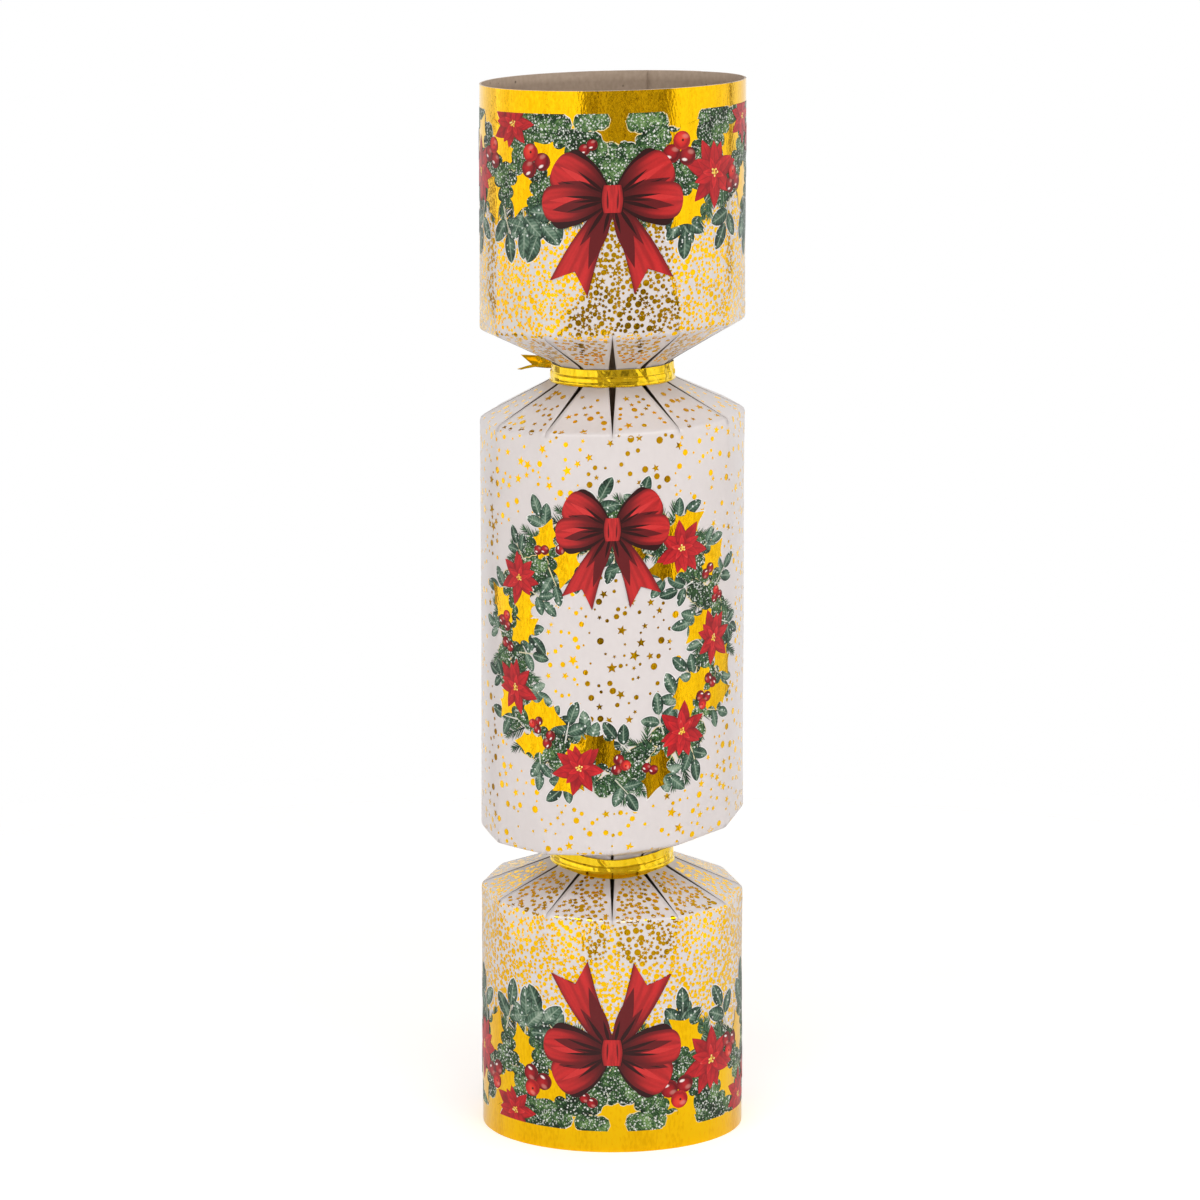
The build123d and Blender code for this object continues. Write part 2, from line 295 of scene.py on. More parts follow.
def cut_edge():
    # Painted shadow colour for the cut edges inside the slits near the ties
    shaded = (0.10, 0.075, 0.06)
    return card_finish(
        "cut_board_edge", (0.60, 0.50, 0.42), (0.72, 0.62, 0.54), 2600.0, 0.0, shaded, Roughness=0.85
    )


# Finishes of the print
def pressed_foil(name, grain, streak, depths, rough, dull, bright):
    finish, tree, shader = new_finish(name, Metallic=1.0)
    foil = use_group(tree, FOIL_GRAIN, Grain=grain, Streak=streak)
    # Base colour runs from dull to bright gold with the grain and streaks: partly the foil's own grain,
    # partly painted reflection
    grain_and_painted_sheen = maths(
        tree, "ADD", maths(tree, "MULTIPLY", foil["Grain"], 0.5),
        maths(tree, "MULTIPLY", foil["Streak"], 0.5),
    )
    tree.links.new(ramp(tree, grain_and_painted_sheen, ((0.38, dull), (0.56, bright))), shader["Base Color"])
    low, high = rough
    uneven = wire(tree, "ShaderNodeMapRange", {"Value": foil["Grain"], "To Min": low, "To Max": high})
    tree.links.new(uneven.outputs["Result"], shader["Roughness"])
    height = maths(
        tree, "ADD", maths(tree, "MULTIPLY", foil["Grain"], depths[0]),
        maths(tree, "MULTIPLY", foil["Streak"], depths[1]),
    )
    tree.links.new(bump(tree, height, 1.0, 1.0), shader["Normal"])
    return finish


CARD_FINISHES = [printed_board(), grey_back(), cut_edge()]
PRINT_FOIL = pressed_foil(
    "pressed_gold_foil", 2100.0, 130.0, (0.036, 0.06), (0.05, 0.12), (0.88, 0.475, 0.003),
    (1.0, 0.595, 0.006)
)
RIBBON_FOIL = pressed_foil(
    "gold_foil_ribbon", 900.0, 300.0, (0.02, 0.03), (0.08, 0.16), (0.88, 0.58, 0.012), (1.0, 0.70, 0.03)
)


# The folded card: angle from the front, v mm into the tube from the crease, lift off its face
@functools.lru_cache(maxsize=None)
def slit_width(piece, far, edge):
    front = FRONT_SLITS[piece][far]
    if edge == 0:
        return front
    low, high = SIDE_SLITS
    return min(front, low + (high - low) * random.Random(f"{piece} {far} {edge}").random())


def fold_line(v):
    if v >= 0:
        return Vector((TUBE_R, v))
    share = min(-v / SLANT, 1.0)
    return Vector((TUBE_R - (TUBE_R - WAIST_R) * share, -NECK_RISE * share - max(-v - SLANT, 0.0)))


@functools.lru_cache(maxsize=None)
def eased_fold(v):
    before, here, after = (fold_line(v + step) for step in (-CREASE_EASE, 0.0, CREASE_EASE))
    return (before + 2 * here + after) / 4, (after - before).normalized()


def lap_fall(angle):
    angle = (angle + math.pi) % (2 * math.pi) - math.pi
    if not 0 < angle < LAP_EDGE:
        return 0.0
    return smooth(1 - (LAP_EDGE - angle) / LAP_FALL)


def leaning(near, far, share, angle):
    level, front, right = (start + (end - start) * share for start, end in zip(near, far))
    return level + front * math.cos(angle) + right * math.sin(angle)


def on_card(section, angle, v, lift=0.0, panel=None):
    crease, way, waist = section.crease, section.way, section.waists[0]
    near, other = section.folds
    far = section.necks == 2 and v > section.length / 2
    if far:
        crease, way, v = crease + section.length, -way, section.length - v
        near, other, waist = other, near, section.waists[1]
    point, along = eased_fold(v)
    tube = smooth(v / CREASE_BLEND)
    out_of_round = 0.11 * math.sin(2 * angle + 0.7) + 0.05 * math.sin(3 * angle + v / 17)
    corner = point.x + along.y * lift + tube * (out_of_round - (CARD + LAP_GAP) * lap_fall(angle))
    if panel is None:
        panel = math.floor(angle / PANEL_ANGLE)
    middle = (panel + 0.5) * PANEL_ANGLE
    across = (angle - middle) / (PANEL_ANGLE / 2)
    roundness = smooth((v + CREASE_ROUND / 6) / CREASE_ROUND)
    bulge = roundness * (1 - FLAT) * (1 - across * across)
    opening = min(max((SLIT_OVERRUN - v) / (SLIT_OVERRUN + SLANT), 0.0), 1.0)
    gap = opening * slit_width(section.piece, far, (panel + (across > 0)) % PANELS) / 2
    radial = corner * (FLAT + bulge)
    aside = across * (corner * math.sin(PANEL_ANGLE / 2) - gap)
    if v >= 0:
        shift = leaning(near, other, v / section.length, angle)
    else:
        shift = leaning(near, waist, min(-v / SLANT, 1.0), angle)
    height = crease + way * (point.y - along.x * lift) + shift
    return MM * Vector((
        radial * math.sin(middle) + aside * math.cos(middle),
        -radial * math.cos(middle) + aside * math.sin(middle),
        height,
    ))


def new_piece(bm, name, finishes, body, replaced=None, flat=False):
    mesh = bpy.data.meshes.new(name)
    bm.to_mesh(mesh)
    bm.free()
    for finish in finishes:
        mesh.materials.append(finish)
    mesh.polygons.foreach_set("use_smooth", [not flat] * len(mesh.polygons))
    piece = bpy.data.objects.new(name, mesh)
    bpy.context.collection.objects.link(piece)
    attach(piece, body)
    if replaced:
        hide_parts(replaced)
    return piece


def card_rows(section):
    neck = [-SLANT - HALF_WAIST + TEAR_GAP / 2, -SLANT - 0.8, -SLANT - 0.3, -SLANT + 0.3]
    neck += [-SLANT * step / 10 for step in range(9, 0, -1)]
    crease = [CREASE_EASE * step / 2 for step in range(-3, 4)]
    reach = section.length / section.necks
    tube = [1.8 + (reach - 1.8) * step / 22 for step in range(23)]
    rows = neck + crease + tube
    if section.necks == 2:
        rows += [section.length - row for row in reversed(rows[:-1])]
    return rows


def card_strip(bm, section, rows, start, end, columns, lift=0.0):
    panel = math.floor((start + end) / 2 / PANEL_ANGLE)
    made = bmesh.ops.create_grid(bm, x_segments=columns, y_segments=len(rows) - 1, size=0.5)["verts"]
    for vert in made:
        angle = start + (end - start) * (vert.co.x + 0.5)
        row = rows[round((vert.co.y + 0.5) * (len(rows) - 1))]
        vert.co = on_card(section, angle, row, lift, panel)


def card_sheet(section):
    bm = bmesh.new()
    rows = card_rows(section)
    for panel in range(PANELS):
        start, end = panel * PANEL_ANGLE, (panel + 1) * PANEL_ANGLE
        if start < LAP_EDGE < end:
            card_strip(bm, section, rows, start, LAP_EDGE - 1e-5, 8)
            card_strip(bm, section, rows, LAP_EDGE, end, 6)
        else:
            card_strip(bm, section, rows, start, end, 12)
    low, high = CREASE_BLEND, section.length - (CREASE_BLEND if section.necks == 2 else 0.0)
    lap_rows = [row for row in rows if low <= row <= high]
    turn = math.ceil(LAP_EDGE / PANEL_ANGLE) * PANEL_ANGLE
    for start, end in ((LAP_EDGE, turn), (turn, LAP_END)):
        card_strip(bm, section, lap_rows, start, end, 6, -CARD - LAP_GAP)
    bmesh.ops.remove_doubles(bm, verts=bm.verts[:], dist=0.004 * MM)
    if section.way < 0:
        bmesh.ops.reverse_faces(bm, faces=bm.faces[:])
    piece = new_piece(
        bm, f"{section.piece}_card", CARD_FINISHES, section.body, section.node
    )
    wall = piece.modifiers.new("board", "SOLIDIFY")
    wall.thickness = CARD * MM
    wall.offset = -1.0
    wall.material_offset = 1
    wall.material_offset_rim = 2
    return piece


for section in (UPPER, BARREL, LOWER):
    card_sheet(section)


# Drawings: flat, in mm, x round the card and y up from the crease, then laid on the card
def new_drawing():
    drawing = bmesh.new()
    drawing.loops.layers.uv.verify()
    drawing.faces.layers.float.new("tone")
    return drawing


def lay_on_card(drawing, section, name, finishes):
    low, high = min(vert.co.x for vert in drawing.verts), max(vert.co.x for vert in drawing.verts)
    folds = [turn * PANEL_ANGLE * TUBE_R for turn in range(-PANELS, PANELS + 1)]
    for fold in [fold for fold in folds + [LAP_EDGE * TUBE_R] if low < fold < high]:
        whole = drawing.verts[:] + drawing.edges[:] + drawing.faces[:]
        bmesh.ops.bisect_plane(drawing, geom=whole, plane_co=(fold, 0, 0), plane_no=(1, 0, 0), dist=1e-4)
    for vert in drawing.verts:
        vert.co = on_card(section, vert.co.x / TUBE_R, vert.co.y, vert.co.z)
    if section.way < 0:
        bmesh.ops.reverse_faces(drawing, faces=drawing.faces[:])
    return new_piece(drawing, name, finishes, section.body)


def paint(drawing, verts, ink, tone):
    layer = drawing.faces.layers.float["tone"]
    for face in {face for vert in verts for face in vert.link_faces}:
        face.material_index = ink
        face[layer] = tone


def leaf(
    drawing, length, width, outline, ink, rows=8, columns=2, at=(0, 0), turn=0.0, lift=0.0, bend=0.0,
    tone=0.5, blunt=False
):
    made = bmesh.ops.create_grid(
        drawing, x_segments=columns, y_segments=rows, size=0.5, calc_uvs=True
    )["verts"]
    for vert in made:
        along = vert.co.y + 0.5
        if blunt:
            along = math.sin(math.pi / 2 * along)
        vert.co.x = vert.co.x * width * outline(along) + bend * length * along * along
        vert.co.y = along * length
    place = Matrix.Translation((*at, lift)) @ Matrix.Rotation(-turn, 4, "Z")
    bmesh.ops.transform(drawing, matrix=place, verts=made)
    paint(drawing, made, ink, tone)


def disc(drawing, radius, ink, segments=12, at=(0, 0), lift=0.0, tone=0.5, star=1.0):
    place = Matrix.Translation((*at, lift))
    made = bmesh.ops.create_circle(
        drawing, cap_ends=True, cap_tris=True, segments=segments, radius=radius, matrix=place, calc_uvs=True
    )["verts"]
    if star < 1.0:
        centre = Vector((*at, lift))
        rim = [vert for vert in made if (vert.co - centre).length > radius / 2]
        rim.sort(key=lambda vert: math.atan2(vert.co.y - at[1], vert.co.x - at[0]))
        for vert in rim[::2]:
            vert.co = centre + (vert.co - centre) * star
    paint(drawing, made, ink, tone)


def oval_edge(along):
    return math.sin(math.pi * along ** 0.9) ** 0.62


def petal_edge(along):
    return math.sin(math.pi * along ** 0.8) ** 0.9 * (1 - 0.12 * along)


def needle_edge(along):
    return min(1.0, 0.4 + 6 * along) * (1 - along) ** 0.6


def stem_edge(along):
    return 1.0 - 0.5 * along


def lobe_edge(along):
    root, swell = 0.26, 0.6
    if along < swell:
        return root + (1 - root) * math.sin(math.pi / 2 * along / swell) ** 1.1
    return max(1 - ((along - swell) / (1 - swell)) ** 5, 0.0) ** 0.5


def stroke_edge(along):
    return max(math.sin(math.pi * along ** 0.7), 0.0)


def holly_edge(along):
    spines = ((0.0, 0.10), (4 / 24, 0.66), (10 / 24, 1.0), (16 / 24, 0.80), (1.0, 0.0))
    for (start, near), (end, far) in zip(spines, spines[1:]):
        if along <= end + 1e-6:
            share = min(max((along - start) / (end - start), 0.0), 1.0)
            hollow = 0.34 * (4 * share * (1 - share)) ** 0.7
            return (near + (far - near) * share) * (1 - hollow)
    return 0.0


def branch_edge(along):
    return (1 - abs(2 * along - 1) ** 5) ** 0.5 * (0.86 + 0.14 * abs(math.sin(4.5 * math.pi * along)))


# Inks, in the order of the print's finishes, and the heights at which they lie, in mm
HALO, FIR, NEEDLE, LEAF, PETAL, STAMEN, BERRY, RIBBON = range(8)
HALO_LIFT = 0.02
FIR_LIFT = 0.03
LEAF_LIFT = 0.055
HOLLY_LIFT = 0.075
PETAL_LIFT = 0.095
BERRY_LIFT = 0.125
BOW_LIFT = 0.145

# Tones of the bow's ink
BOW_DARK, BOW_SHADOW, BOW_LOOP, BOW_TAIL, BOW_KNOT, BOW_SHEEN = 0.05, 0.2, 0.45, 0.6, 0.75, 0.95


def leaf_with_halo(drawing, length, width, turn, at=(0, 0), bend=0.0, tone=0.5):
    leaf(drawing, length + 0.25, width + 0.36, oval_edge, HALO, 8, 2, at, turn, HALO_LIFT, bend)
    leaf(drawing, length, width, oval_edge, LEAF, 10, 4, at, turn, LEAF_LIFT, bend, tone)


def oval_spray(drawing, spread, tone):
    leaf(drawing, 5.0, 0.34, stem_edge, HALO, 4, 1, lift=LEAF_LIFT - 0.004, tone=0.72)
    leaf_with_halo(drawing, 4.7, 2.5, 0.12, (0.2, 4.3), 0.06, tone)
    leaf_with_halo(drawing, 4.5, 2.6, spread, (0.2, 2.2), 0.08, tone + 0.2)
    leaf_with_halo(drawing, 4.2, 2.3, -spread, (-0.2, 2.6), -0.08, tone + 0.35)


def fir_sprig(drawing, pairs, length, reach, seed):
    sprig = random.Random(seed)
    leaf(drawing, length, 0.4, stem_edge, NEEDLE, 4, 1, lift=FIR_LIFT, tone=0.1)
    for pair in range(pairs):
        along = (pair + 0.4) / pairs
        for side in (-1, 1):
            turn = side * sprig.uniform(0.45, 0.85) * (1.15 - 0.6 * along)
            size = reach * (1.1 - 0.45 * along) * sprig.uniform(0.8, 1.15)
            at, lift = (0.0, along * length), FIR_LIFT + 0.001 * pair
            leaf(
                drawing, size, 0.36, needle_edge, NEEDLE, 3, 1, at, turn, lift, side * 0.06, sprig.random()
            )
    for side in (-1, 0, 1):
        leaf(
            drawing, reach * 0.7, 0.34, needle_edge, NEEDLE, 3, 1, (0, length * 0.95), side * 0.3, FIR_LIFT,
            tone=0.8,
        )


def fir_branch(drawing, length, width, seed):
    shape = random.Random(seed)
    leaf(
        drawing, length + 0.35, width + 0.4, branch_edge, HALO, 14, 2, (0, -length / 2 - 0.17), 0.0,
        HALO_LIFT, tone=0.9,
    )
    leaf(
        drawing, length, width, branch_edge, FIR, 18, 4, (0, -length / 2), 0.0, FIR_LIFT, 0.0,
        shape.random(),
    )


def holly_leaf(drawing, ink, spread=0.0, lift=HOLLY_LIFT):
    leaf(
        drawing, 9.6 + 1.4 * spread, 6.4 + spread, holly_edge, ink, 24, 4, (0, -spread / 2), 0.0, lift, 0.06
    )


def poinsettia(drawing, seed):
    bloom = random.Random(seed)
    rings = ((7, 1.0, 0.50, 0.0), (6, 0.8, 0.43, 0.35), (5, 0.46, 0.26, 0.7))
    for ring, (petals, length, width, tone) in enumerate(rings):
        for petal in range(petals):
            place = petal + 0.5 * (ring % 2) + bloom.uniform(-0.14, 0.14)
            turn = 2 * math.pi * place / petals + 0.4 * ring
            size = length * bloom.uniform(0.82, 1.08)
            lift = PETAL_LIFT + 0.008 * ring + 0.001 * petal
            curl, shade = bloom.uniform(-0.12, 0.12), tone + bloom.uniform(0.0, 0.35)
            leaf(
                drawing, size, width * size / length, petal_edge, PETAL, 9, 4, (0, 0), turn, lift, curl,
                shade,
            )
            if ring == 0:
                leaf(
                    drawing, size + 0.04, width + 0.05, petal_edge, HALO, 7, 2, (0, 0), turn, HALO_LIFT,
                    curl,
                )
    for grain in range(9):
        turn = 2.4 * grain
        at = (0.034 * grain ** 0.6 * math.sin(turn), 0.034 * grain ** 0.6 * math.cos(turn))
        disc(drawing, 0.034, STAMEN, 8, at, PETAL_LIFT + 0.026 + 0.0006 * grain, bloom.random())


def berry_cluster(drawing, places):
    for count, (x, y) in enumerate(places):
        disc(drawing, 1.14, HALO, 20, (x, y), HALO_LIFT)
        disc(
            drawing, 1.0, BERRY, 24, (x, y), BERRY_LIFT + 0.003 * count, 0.9 if count == 2 else 0.25 * count
        )


def bow_patch(drawing, line, half_width, lift, tone, rows=16, columns=8, notch=0.0):
    made = bmesh.ops.create_grid(
        drawing, x_segments=columns, y_segments=rows, size=0.5, calc_uvs=True
    )["verts"]
    for vert in made:
        along, across = vert.co.y + 0.5, 2 * vert.co.x
        here, ahead = line(along), line(along + 0.01)
        heading = (ahead - here).normalized()
        side = Vector((heading.y, -heading.x))
        slip = smooth((along - 0.55) / 0.45) * notch * (1 - abs(across))
        spot = here + side * across * half_width(along) - heading * slip
        vert.co = (spot.x, spot.y, lift)
    paint(drawing, made, RIBBON, tone)


def bow_stroke(drawing, side, rise, start, length, width, lift, tone, bend=0.0, outline=stroke_edge):
    slope = math.radians(rise)
    at = (side * start * math.cos(slope), start * math.sin(slope))
    turn = side * (math.pi / 2 - slope)
    lobe = outline is lobe_edge
    columns = 14 if lobe else 4
    leaf(drawing, length, width, outline, RIBBON, 26, columns, at, turn, lift, side * bend, tone, lobe)


def bow_tail(drawing, side, spread, drop, lift):
    def line(along):
        return Vector((
            side * (0.7 + spread * along ** 1.1 + 0.5 * math.sin(math.pi * along)), -1.2 - drop * along
        ))

    def half_width(along):
        return 1.0 + 2.0 * along ** 0.85

    bow_patch(drawing, line, lambda along: half_width(along) + 0.1, lift - 0.004, BOW_SHADOW, 20, 14, 2.6)
    bow_patch(drawing, line, half_width, lift, BOW_TAIL, 20, 14, 2.7)
    slope = math.degrees(math.atan2(-drop, spread))
    for rise, start, length, width, bend in ((-5, 1.6, 9.0, 2.3, 0.05), (7, 1.8, 6.4, 1.3, -0.04)):
        bow_stroke(drawing, side, slope + rise, start, length, width, lift + 0.004, BOW_SHADOW, bend)
    bow_stroke(drawing, side, slope + 9, 1.8, 4.8, 0.6, lift + 0.006, BOW_DARK, 0.03)
    bow_stroke(drawing, side, slope - 12, 1.8, 3.4, 0.5, lift + 0.008, BOW_DARK, 0.0)


def ribbon_bow(drawing):
    for side in (-1, 1):
        bow_tail(drawing, side, 5.5 - 0.2 * side, 11.6, BOW_LIFT + 0.008 * (side > 0))
        lift = BOW_LIFT + 0.018
        bow_stroke(drawing, side, 43, 0.7, 8.6, 4.2, lift, BOW_DARK, 0.0, lobe_edge)
        bow_stroke(drawing, side, 30, 0.7, 9.2, 6.0, lift + 0.005, BOW_LOOP, 0.0, lobe_edge)
        bow_stroke(drawing, side, 33, 3.6, 5.4, 0.9, lift + 0.010, BOW_SHEEN, 0.03)
        shade = (19, 2.0, 6.4, 2.3) if side < 0 else (20, 1.6, 7.3, 1.9)
        bow_stroke(drawing, side, *shade, lift + 0.012, BOW_SHADOW, 0.05)
        for rise, start, length, width in ((21, 1.4, 6.6, 0.6), (31, 1.4, 4.2, 0.42), (41, 1.5, 5.0, 0.5)):
            bow_stroke(drawing, side, rise, start, length, width, lift + 0.015, BOW_DARK, 0.03)
        bow_stroke(drawing, side, -16, 0.7, 8.9, 4.2, lift + 0.019, BOW_DARK, 0.0, lobe_edge)
        bow_stroke(drawing, side, -4, 0.7, 9.8, 5.4, lift + 0.023, BOW_LOOP, 0.0, lobe_edge)
        bow_stroke(drawing, side, 0, 4.0, 5.4, 0.9, lift + 0.027, BOW_SHEEN, 0.03)
        shade = (-11, 2.4, 6.6, 1.9) if side < 0 else (-10, 2.0, 7.2, 1.6)
        bow_stroke(drawing, side, *shade, lift + 0.030, BOW_SHADOW, -0.03)
        for rise, start, length, width in (
            (5, 1.4, 5.6, 0.45), (-3, 1.3, 4.4, 0.42), (-14, 1.4, 5.6, 0.55)
        ):
            bow_stroke(drawing, side, rise, start, length, width, lift + 0.033, BOW_DARK, 0.03)

    def line(along):
        return Vector((0.0, 2.0 - 4.0 * along))

    def half_width(along):
        return 1.2 + 0.28 * math.sin(math.pi * min(along, 1.0))

    bow_patch(drawing, line, lambda along: half_width(along) + 0.14, BOW_LIFT + 0.056, BOW_DARK, 8, 6)
    bow_patch(drawing, line, half_width, BOW_LIFT + 0.060, BOW_KNOT, 8, 6)
    for aside, width in ((-0.62, 0.26), (0.7, 0.24)):
        leaf(
            drawing, 2.9, width, stroke_edge, RIBBON, 10, 2, (aside, -1.5), 0.06 * aside, BOW_LIFT + 0.064,
            0.0, BOW_SHADOW,
        )


def cut_stamp(draw, *values):
    drawing = new_drawing()
    draw(drawing, *values)
    bmesh.ops.remove_doubles(drawing, verts=drawing.verts[:], dist=0.0004)
    stamp = bpy.data.meshes.new(draw.__name__)
    drawing.to_mesh(stamp)
    drawing.free()
    return stamp


def press(drawing, stamp, at, turn=0.0, size=1.0, order=0, shade=0.0, wide=1.0):
    first_vert, first_face = len(drawing.verts), len(drawing.faces)
    drawing.from_mesh(stamp)
    drawing.verts.ensure_lookup_table()
    drawing.faces.ensure_lookup_table()
    place = Matrix.Translation((*at, 0.0012 * (order % 12))) @ Matrix.Diagonal((wide, 1, 1, 1))
    place = place @ Matrix.Rotation(-turn, 4, "Z") @ Matrix.Diagonal((size, size, 1, 1))
    for vert in drawing.verts[first_vert:]:
        vert.co = place @ vert.co
    layer = drawing.faces.layers.float["tone"]
    for face in drawing.faces[first_face:]:
        face[layer] += shade


TRIO = ((-0.95, -0.5), (0.95, -0.55), (0.0, 1.0))
PAIR = ((-0.8, 0.0), (0.75, 0.45))
OVAL_SPRAYS = [
    cut_stamp(oval_spray, spread, tone) for spread, tone in ((0.75, 0.1), (0.95, 0.4), (0.6, 0.6))
]
FIR_SPRIGS = [cut_stamp(fir_sprig, 11, 6.5, 2.9, seed) for seed in range(4)]
FIR_BRANCHES = [cut_stamp(fir_branch, 9.5, 5.0, seed) for seed in range(3)]
HOLLY = cut_stamp(holly_leaf, 0)
HOLLY_HALO = cut_stamp(holly_leaf, HALO, 0.5, HALO_LIFT)
BLOOMS = [cut_stamp(poinsettia, seed) for seed in range(3)]
BERRY_TRIO = cut_stamp(berry_cluster, TRIO)
BERRY_PAIR = cut_stamp(berry_cluster, PAIR)
BOW = cut_stamp(ribbon_bow)
DOT = cut_stamp(disc, 1.0, 0, 10, (0, 0), 0.01)
STAR = cut_stamp(disc, 1.0, 0, 10, (0, 0), 0.01, 0.5, 0.45)


def press_holly(ink, gold, at, turn, size, order):
    press(ink, HOLLY_HALO, at, turn, size, order)
    press(gold, HOLLY, at, turn, size, order)


# The wreath: its size in mm, how many of each piece, and its blooms and berries in degrees from the top
WREATH_R = 23.0
WREATH_CLEAR = (14.0, 30.5)
WREATH_BRANCHES = 54
WREATH_SPRIGS = 112
WREATH_SPRAYS = 38
WREATH_HOLLY = 22
WREATH_BOW_RISE = 22.8
WREATH_BOW_SIZE = 1.08
WREATH_BLOOMS = (38, 92, 141, 196, 249, 303)
WREATH_BERRIES = (58, 72, 112, 122, 163, 176, 216, 227, 270, 280, 322, 334)


def wreath(ink, gold, x, y):
    hand = random.Random(2407)

    def ring(turn, radius):
        return (x + radius * math.sin(turn), y + radius * math.cos(turn))

    for count in range(WREATH_BRANCHES):
        turn = 2 * math.pi * count / WREATH_BRANCHES
        at = ring(turn, WREATH_R + (2.1, -2.1, 0.0)[count % 3] + hand.uniform(-0.5, 0.5))
        lean = math.pi / 2 + hand.uniform(-0.6, 0.6)
        press(
            ink, FIR_BRANCHES[count % 3], at, turn + lean, hand.uniform(0.72, 0.9), count,
            hand.uniform(-0.25, 0.25),
        )
    for count in range(WREATH_SPRIGS):
        turn = 2 * math.pi * (count + hand.random()) / WREATH_SPRIGS
        outward = count % 2
        lean = hand.choice((-1, 1)) * hand.uniform(0.3, 1.15)
        at = ring(turn, WREATH_R + hand.uniform(0.5, 2.6) if outward else WREATH_R - hand.uniform(0.5, 2.6))
        turn += lean if outward else math.pi + lean
        press(ink, FIR_SPRIGS[count % 4], at, turn, hand.uniform(0.6, 0.9), count, hand.uniform(-0.2, 0.2))
    for count in range(WREATH_SPRAYS):
        turn = 2 * math.pi * (count + hand.uniform(-0.25, 0.25)) / WREATH_SPRAYS
        outward = count % 2
        at = ring(turn, WREATH_R + 1.9 if outward else WREATH_R - 2.9)
        turn += hand.uniform(-0.75, 0.75) + (0 if outward else math.pi)
        press(
            ink, OVAL_SPRAYS[count % 3], at, turn, hand.uniform(0.78, 1.0), count, hand.uniform(-0.1, 0.1)
        )
    for count in range(WREATH_HOLLY):
        turn = 2 * math.pi * (count + 0.5) / WREATH_HOLLY + hand.uniform(-0.1, 0.1)
        outward = count % 2
        at = ring(turn, WREATH_R - 0.5 if outward else WREATH_R - 1.0)
        turn += hand.choice((-1, 1)) * hand.uniform(0.35, 1.0) + (0 if outward else math.pi)
        press_holly(ink, gold, at, turn, hand.uniform(0.86, 1.04), count)
    for count, degrees in enumerate(WREATH_BLOOMS):
        turn = math.radians(degrees)
        press(
            ink, BLOOMS[count % 3], ring(turn, WREATH_R + hand.uniform(-1, 1)), hand.uniform(0, 6),
            hand.uniform(5.2, 5.8), count,
        )
    for count, degrees in enumerate(WREATH_BERRIES):
        at = ring(math.radians(degrees), WREATH_R + hand.uniform(-2.0, 2.0))
        press(
            ink, BERRY_TRIO if count % 2 else BERRY_PAIR, at, hand.uniform(0, 6), hand.uniform(0.85, 1.05),
            count,
        )
    press(ink, BOW, (x, y + WREATH_BOW_RISE), 0.0, WREATH_BOW_SIZE)


# Where the garland's pieces lie, in mm aside from its bow and down from the rim
FIR_ROWS = ((6.2, 0.15), (9.2, 0.35), (12.2, 0.5), (15.2, 0.6), (18.2, 0.7), (20.4, 0.9))
FIR_GAPS = ((2.0, 6.5, 3.2), (2.0, 10.0, 2.0), (15.5, 7.0, 2.6), (-29.0, 7.5, 2.6))
FIR_COLUMNS = 19
HANGING_SPRIGS = 70
GARLAND_BOW_DROP = 20.8
GARLAND_BOW_SIZE = 1.34
GARLAND_SPRAYS = (
    (-9.0, 21.5, 3.9), (-13.5, 22.5, 3.4), (10.0, 21.5, 2.4), (14.0, 22.5, 3.0), (-33.0, 22.0, 3.4),
    (34.5, 22.5, 2.9), (27.5, 22.5, 3.5), (-24.5, 22.5, 2.8), (-19.0, 21.0, 3.0), (39.5, 21.0, 3.3),
)
GARLAND_HOLLY = (
    (-7.5, 16.0, -1.0), (-18.0, 15.5, 3.4), (11.0, 13.5, 0.7), (19.0, 20.0, 3.9), (25.0, 15.0, 0.6),
    (-30.5, 16.5, 2.7), (-22.0, 14.0, -0.7), (34.5, 16.0, 3.4), (-38.0, 14.0, 0.5),
)
GARLAND_BLOOMS = ((22.0, 17.0, 7.4), (-21.5, 6.5, 6.0), (-35.5, 16.5, 7.2), (33.5, 7.0, 5.6))
GARLAND_PAIR = (-4.5, 11.0, 1.1)
GARLAND_BERRIES = (
    (-16.0, 13.5, 1.75), (13.5, 12.0, 1.85), GARLAND_PAIR, (28.5, 19.0, 1.5), (-28.5, 12.5, 1.6),
    (39.0, 12.0, 1.7),
)


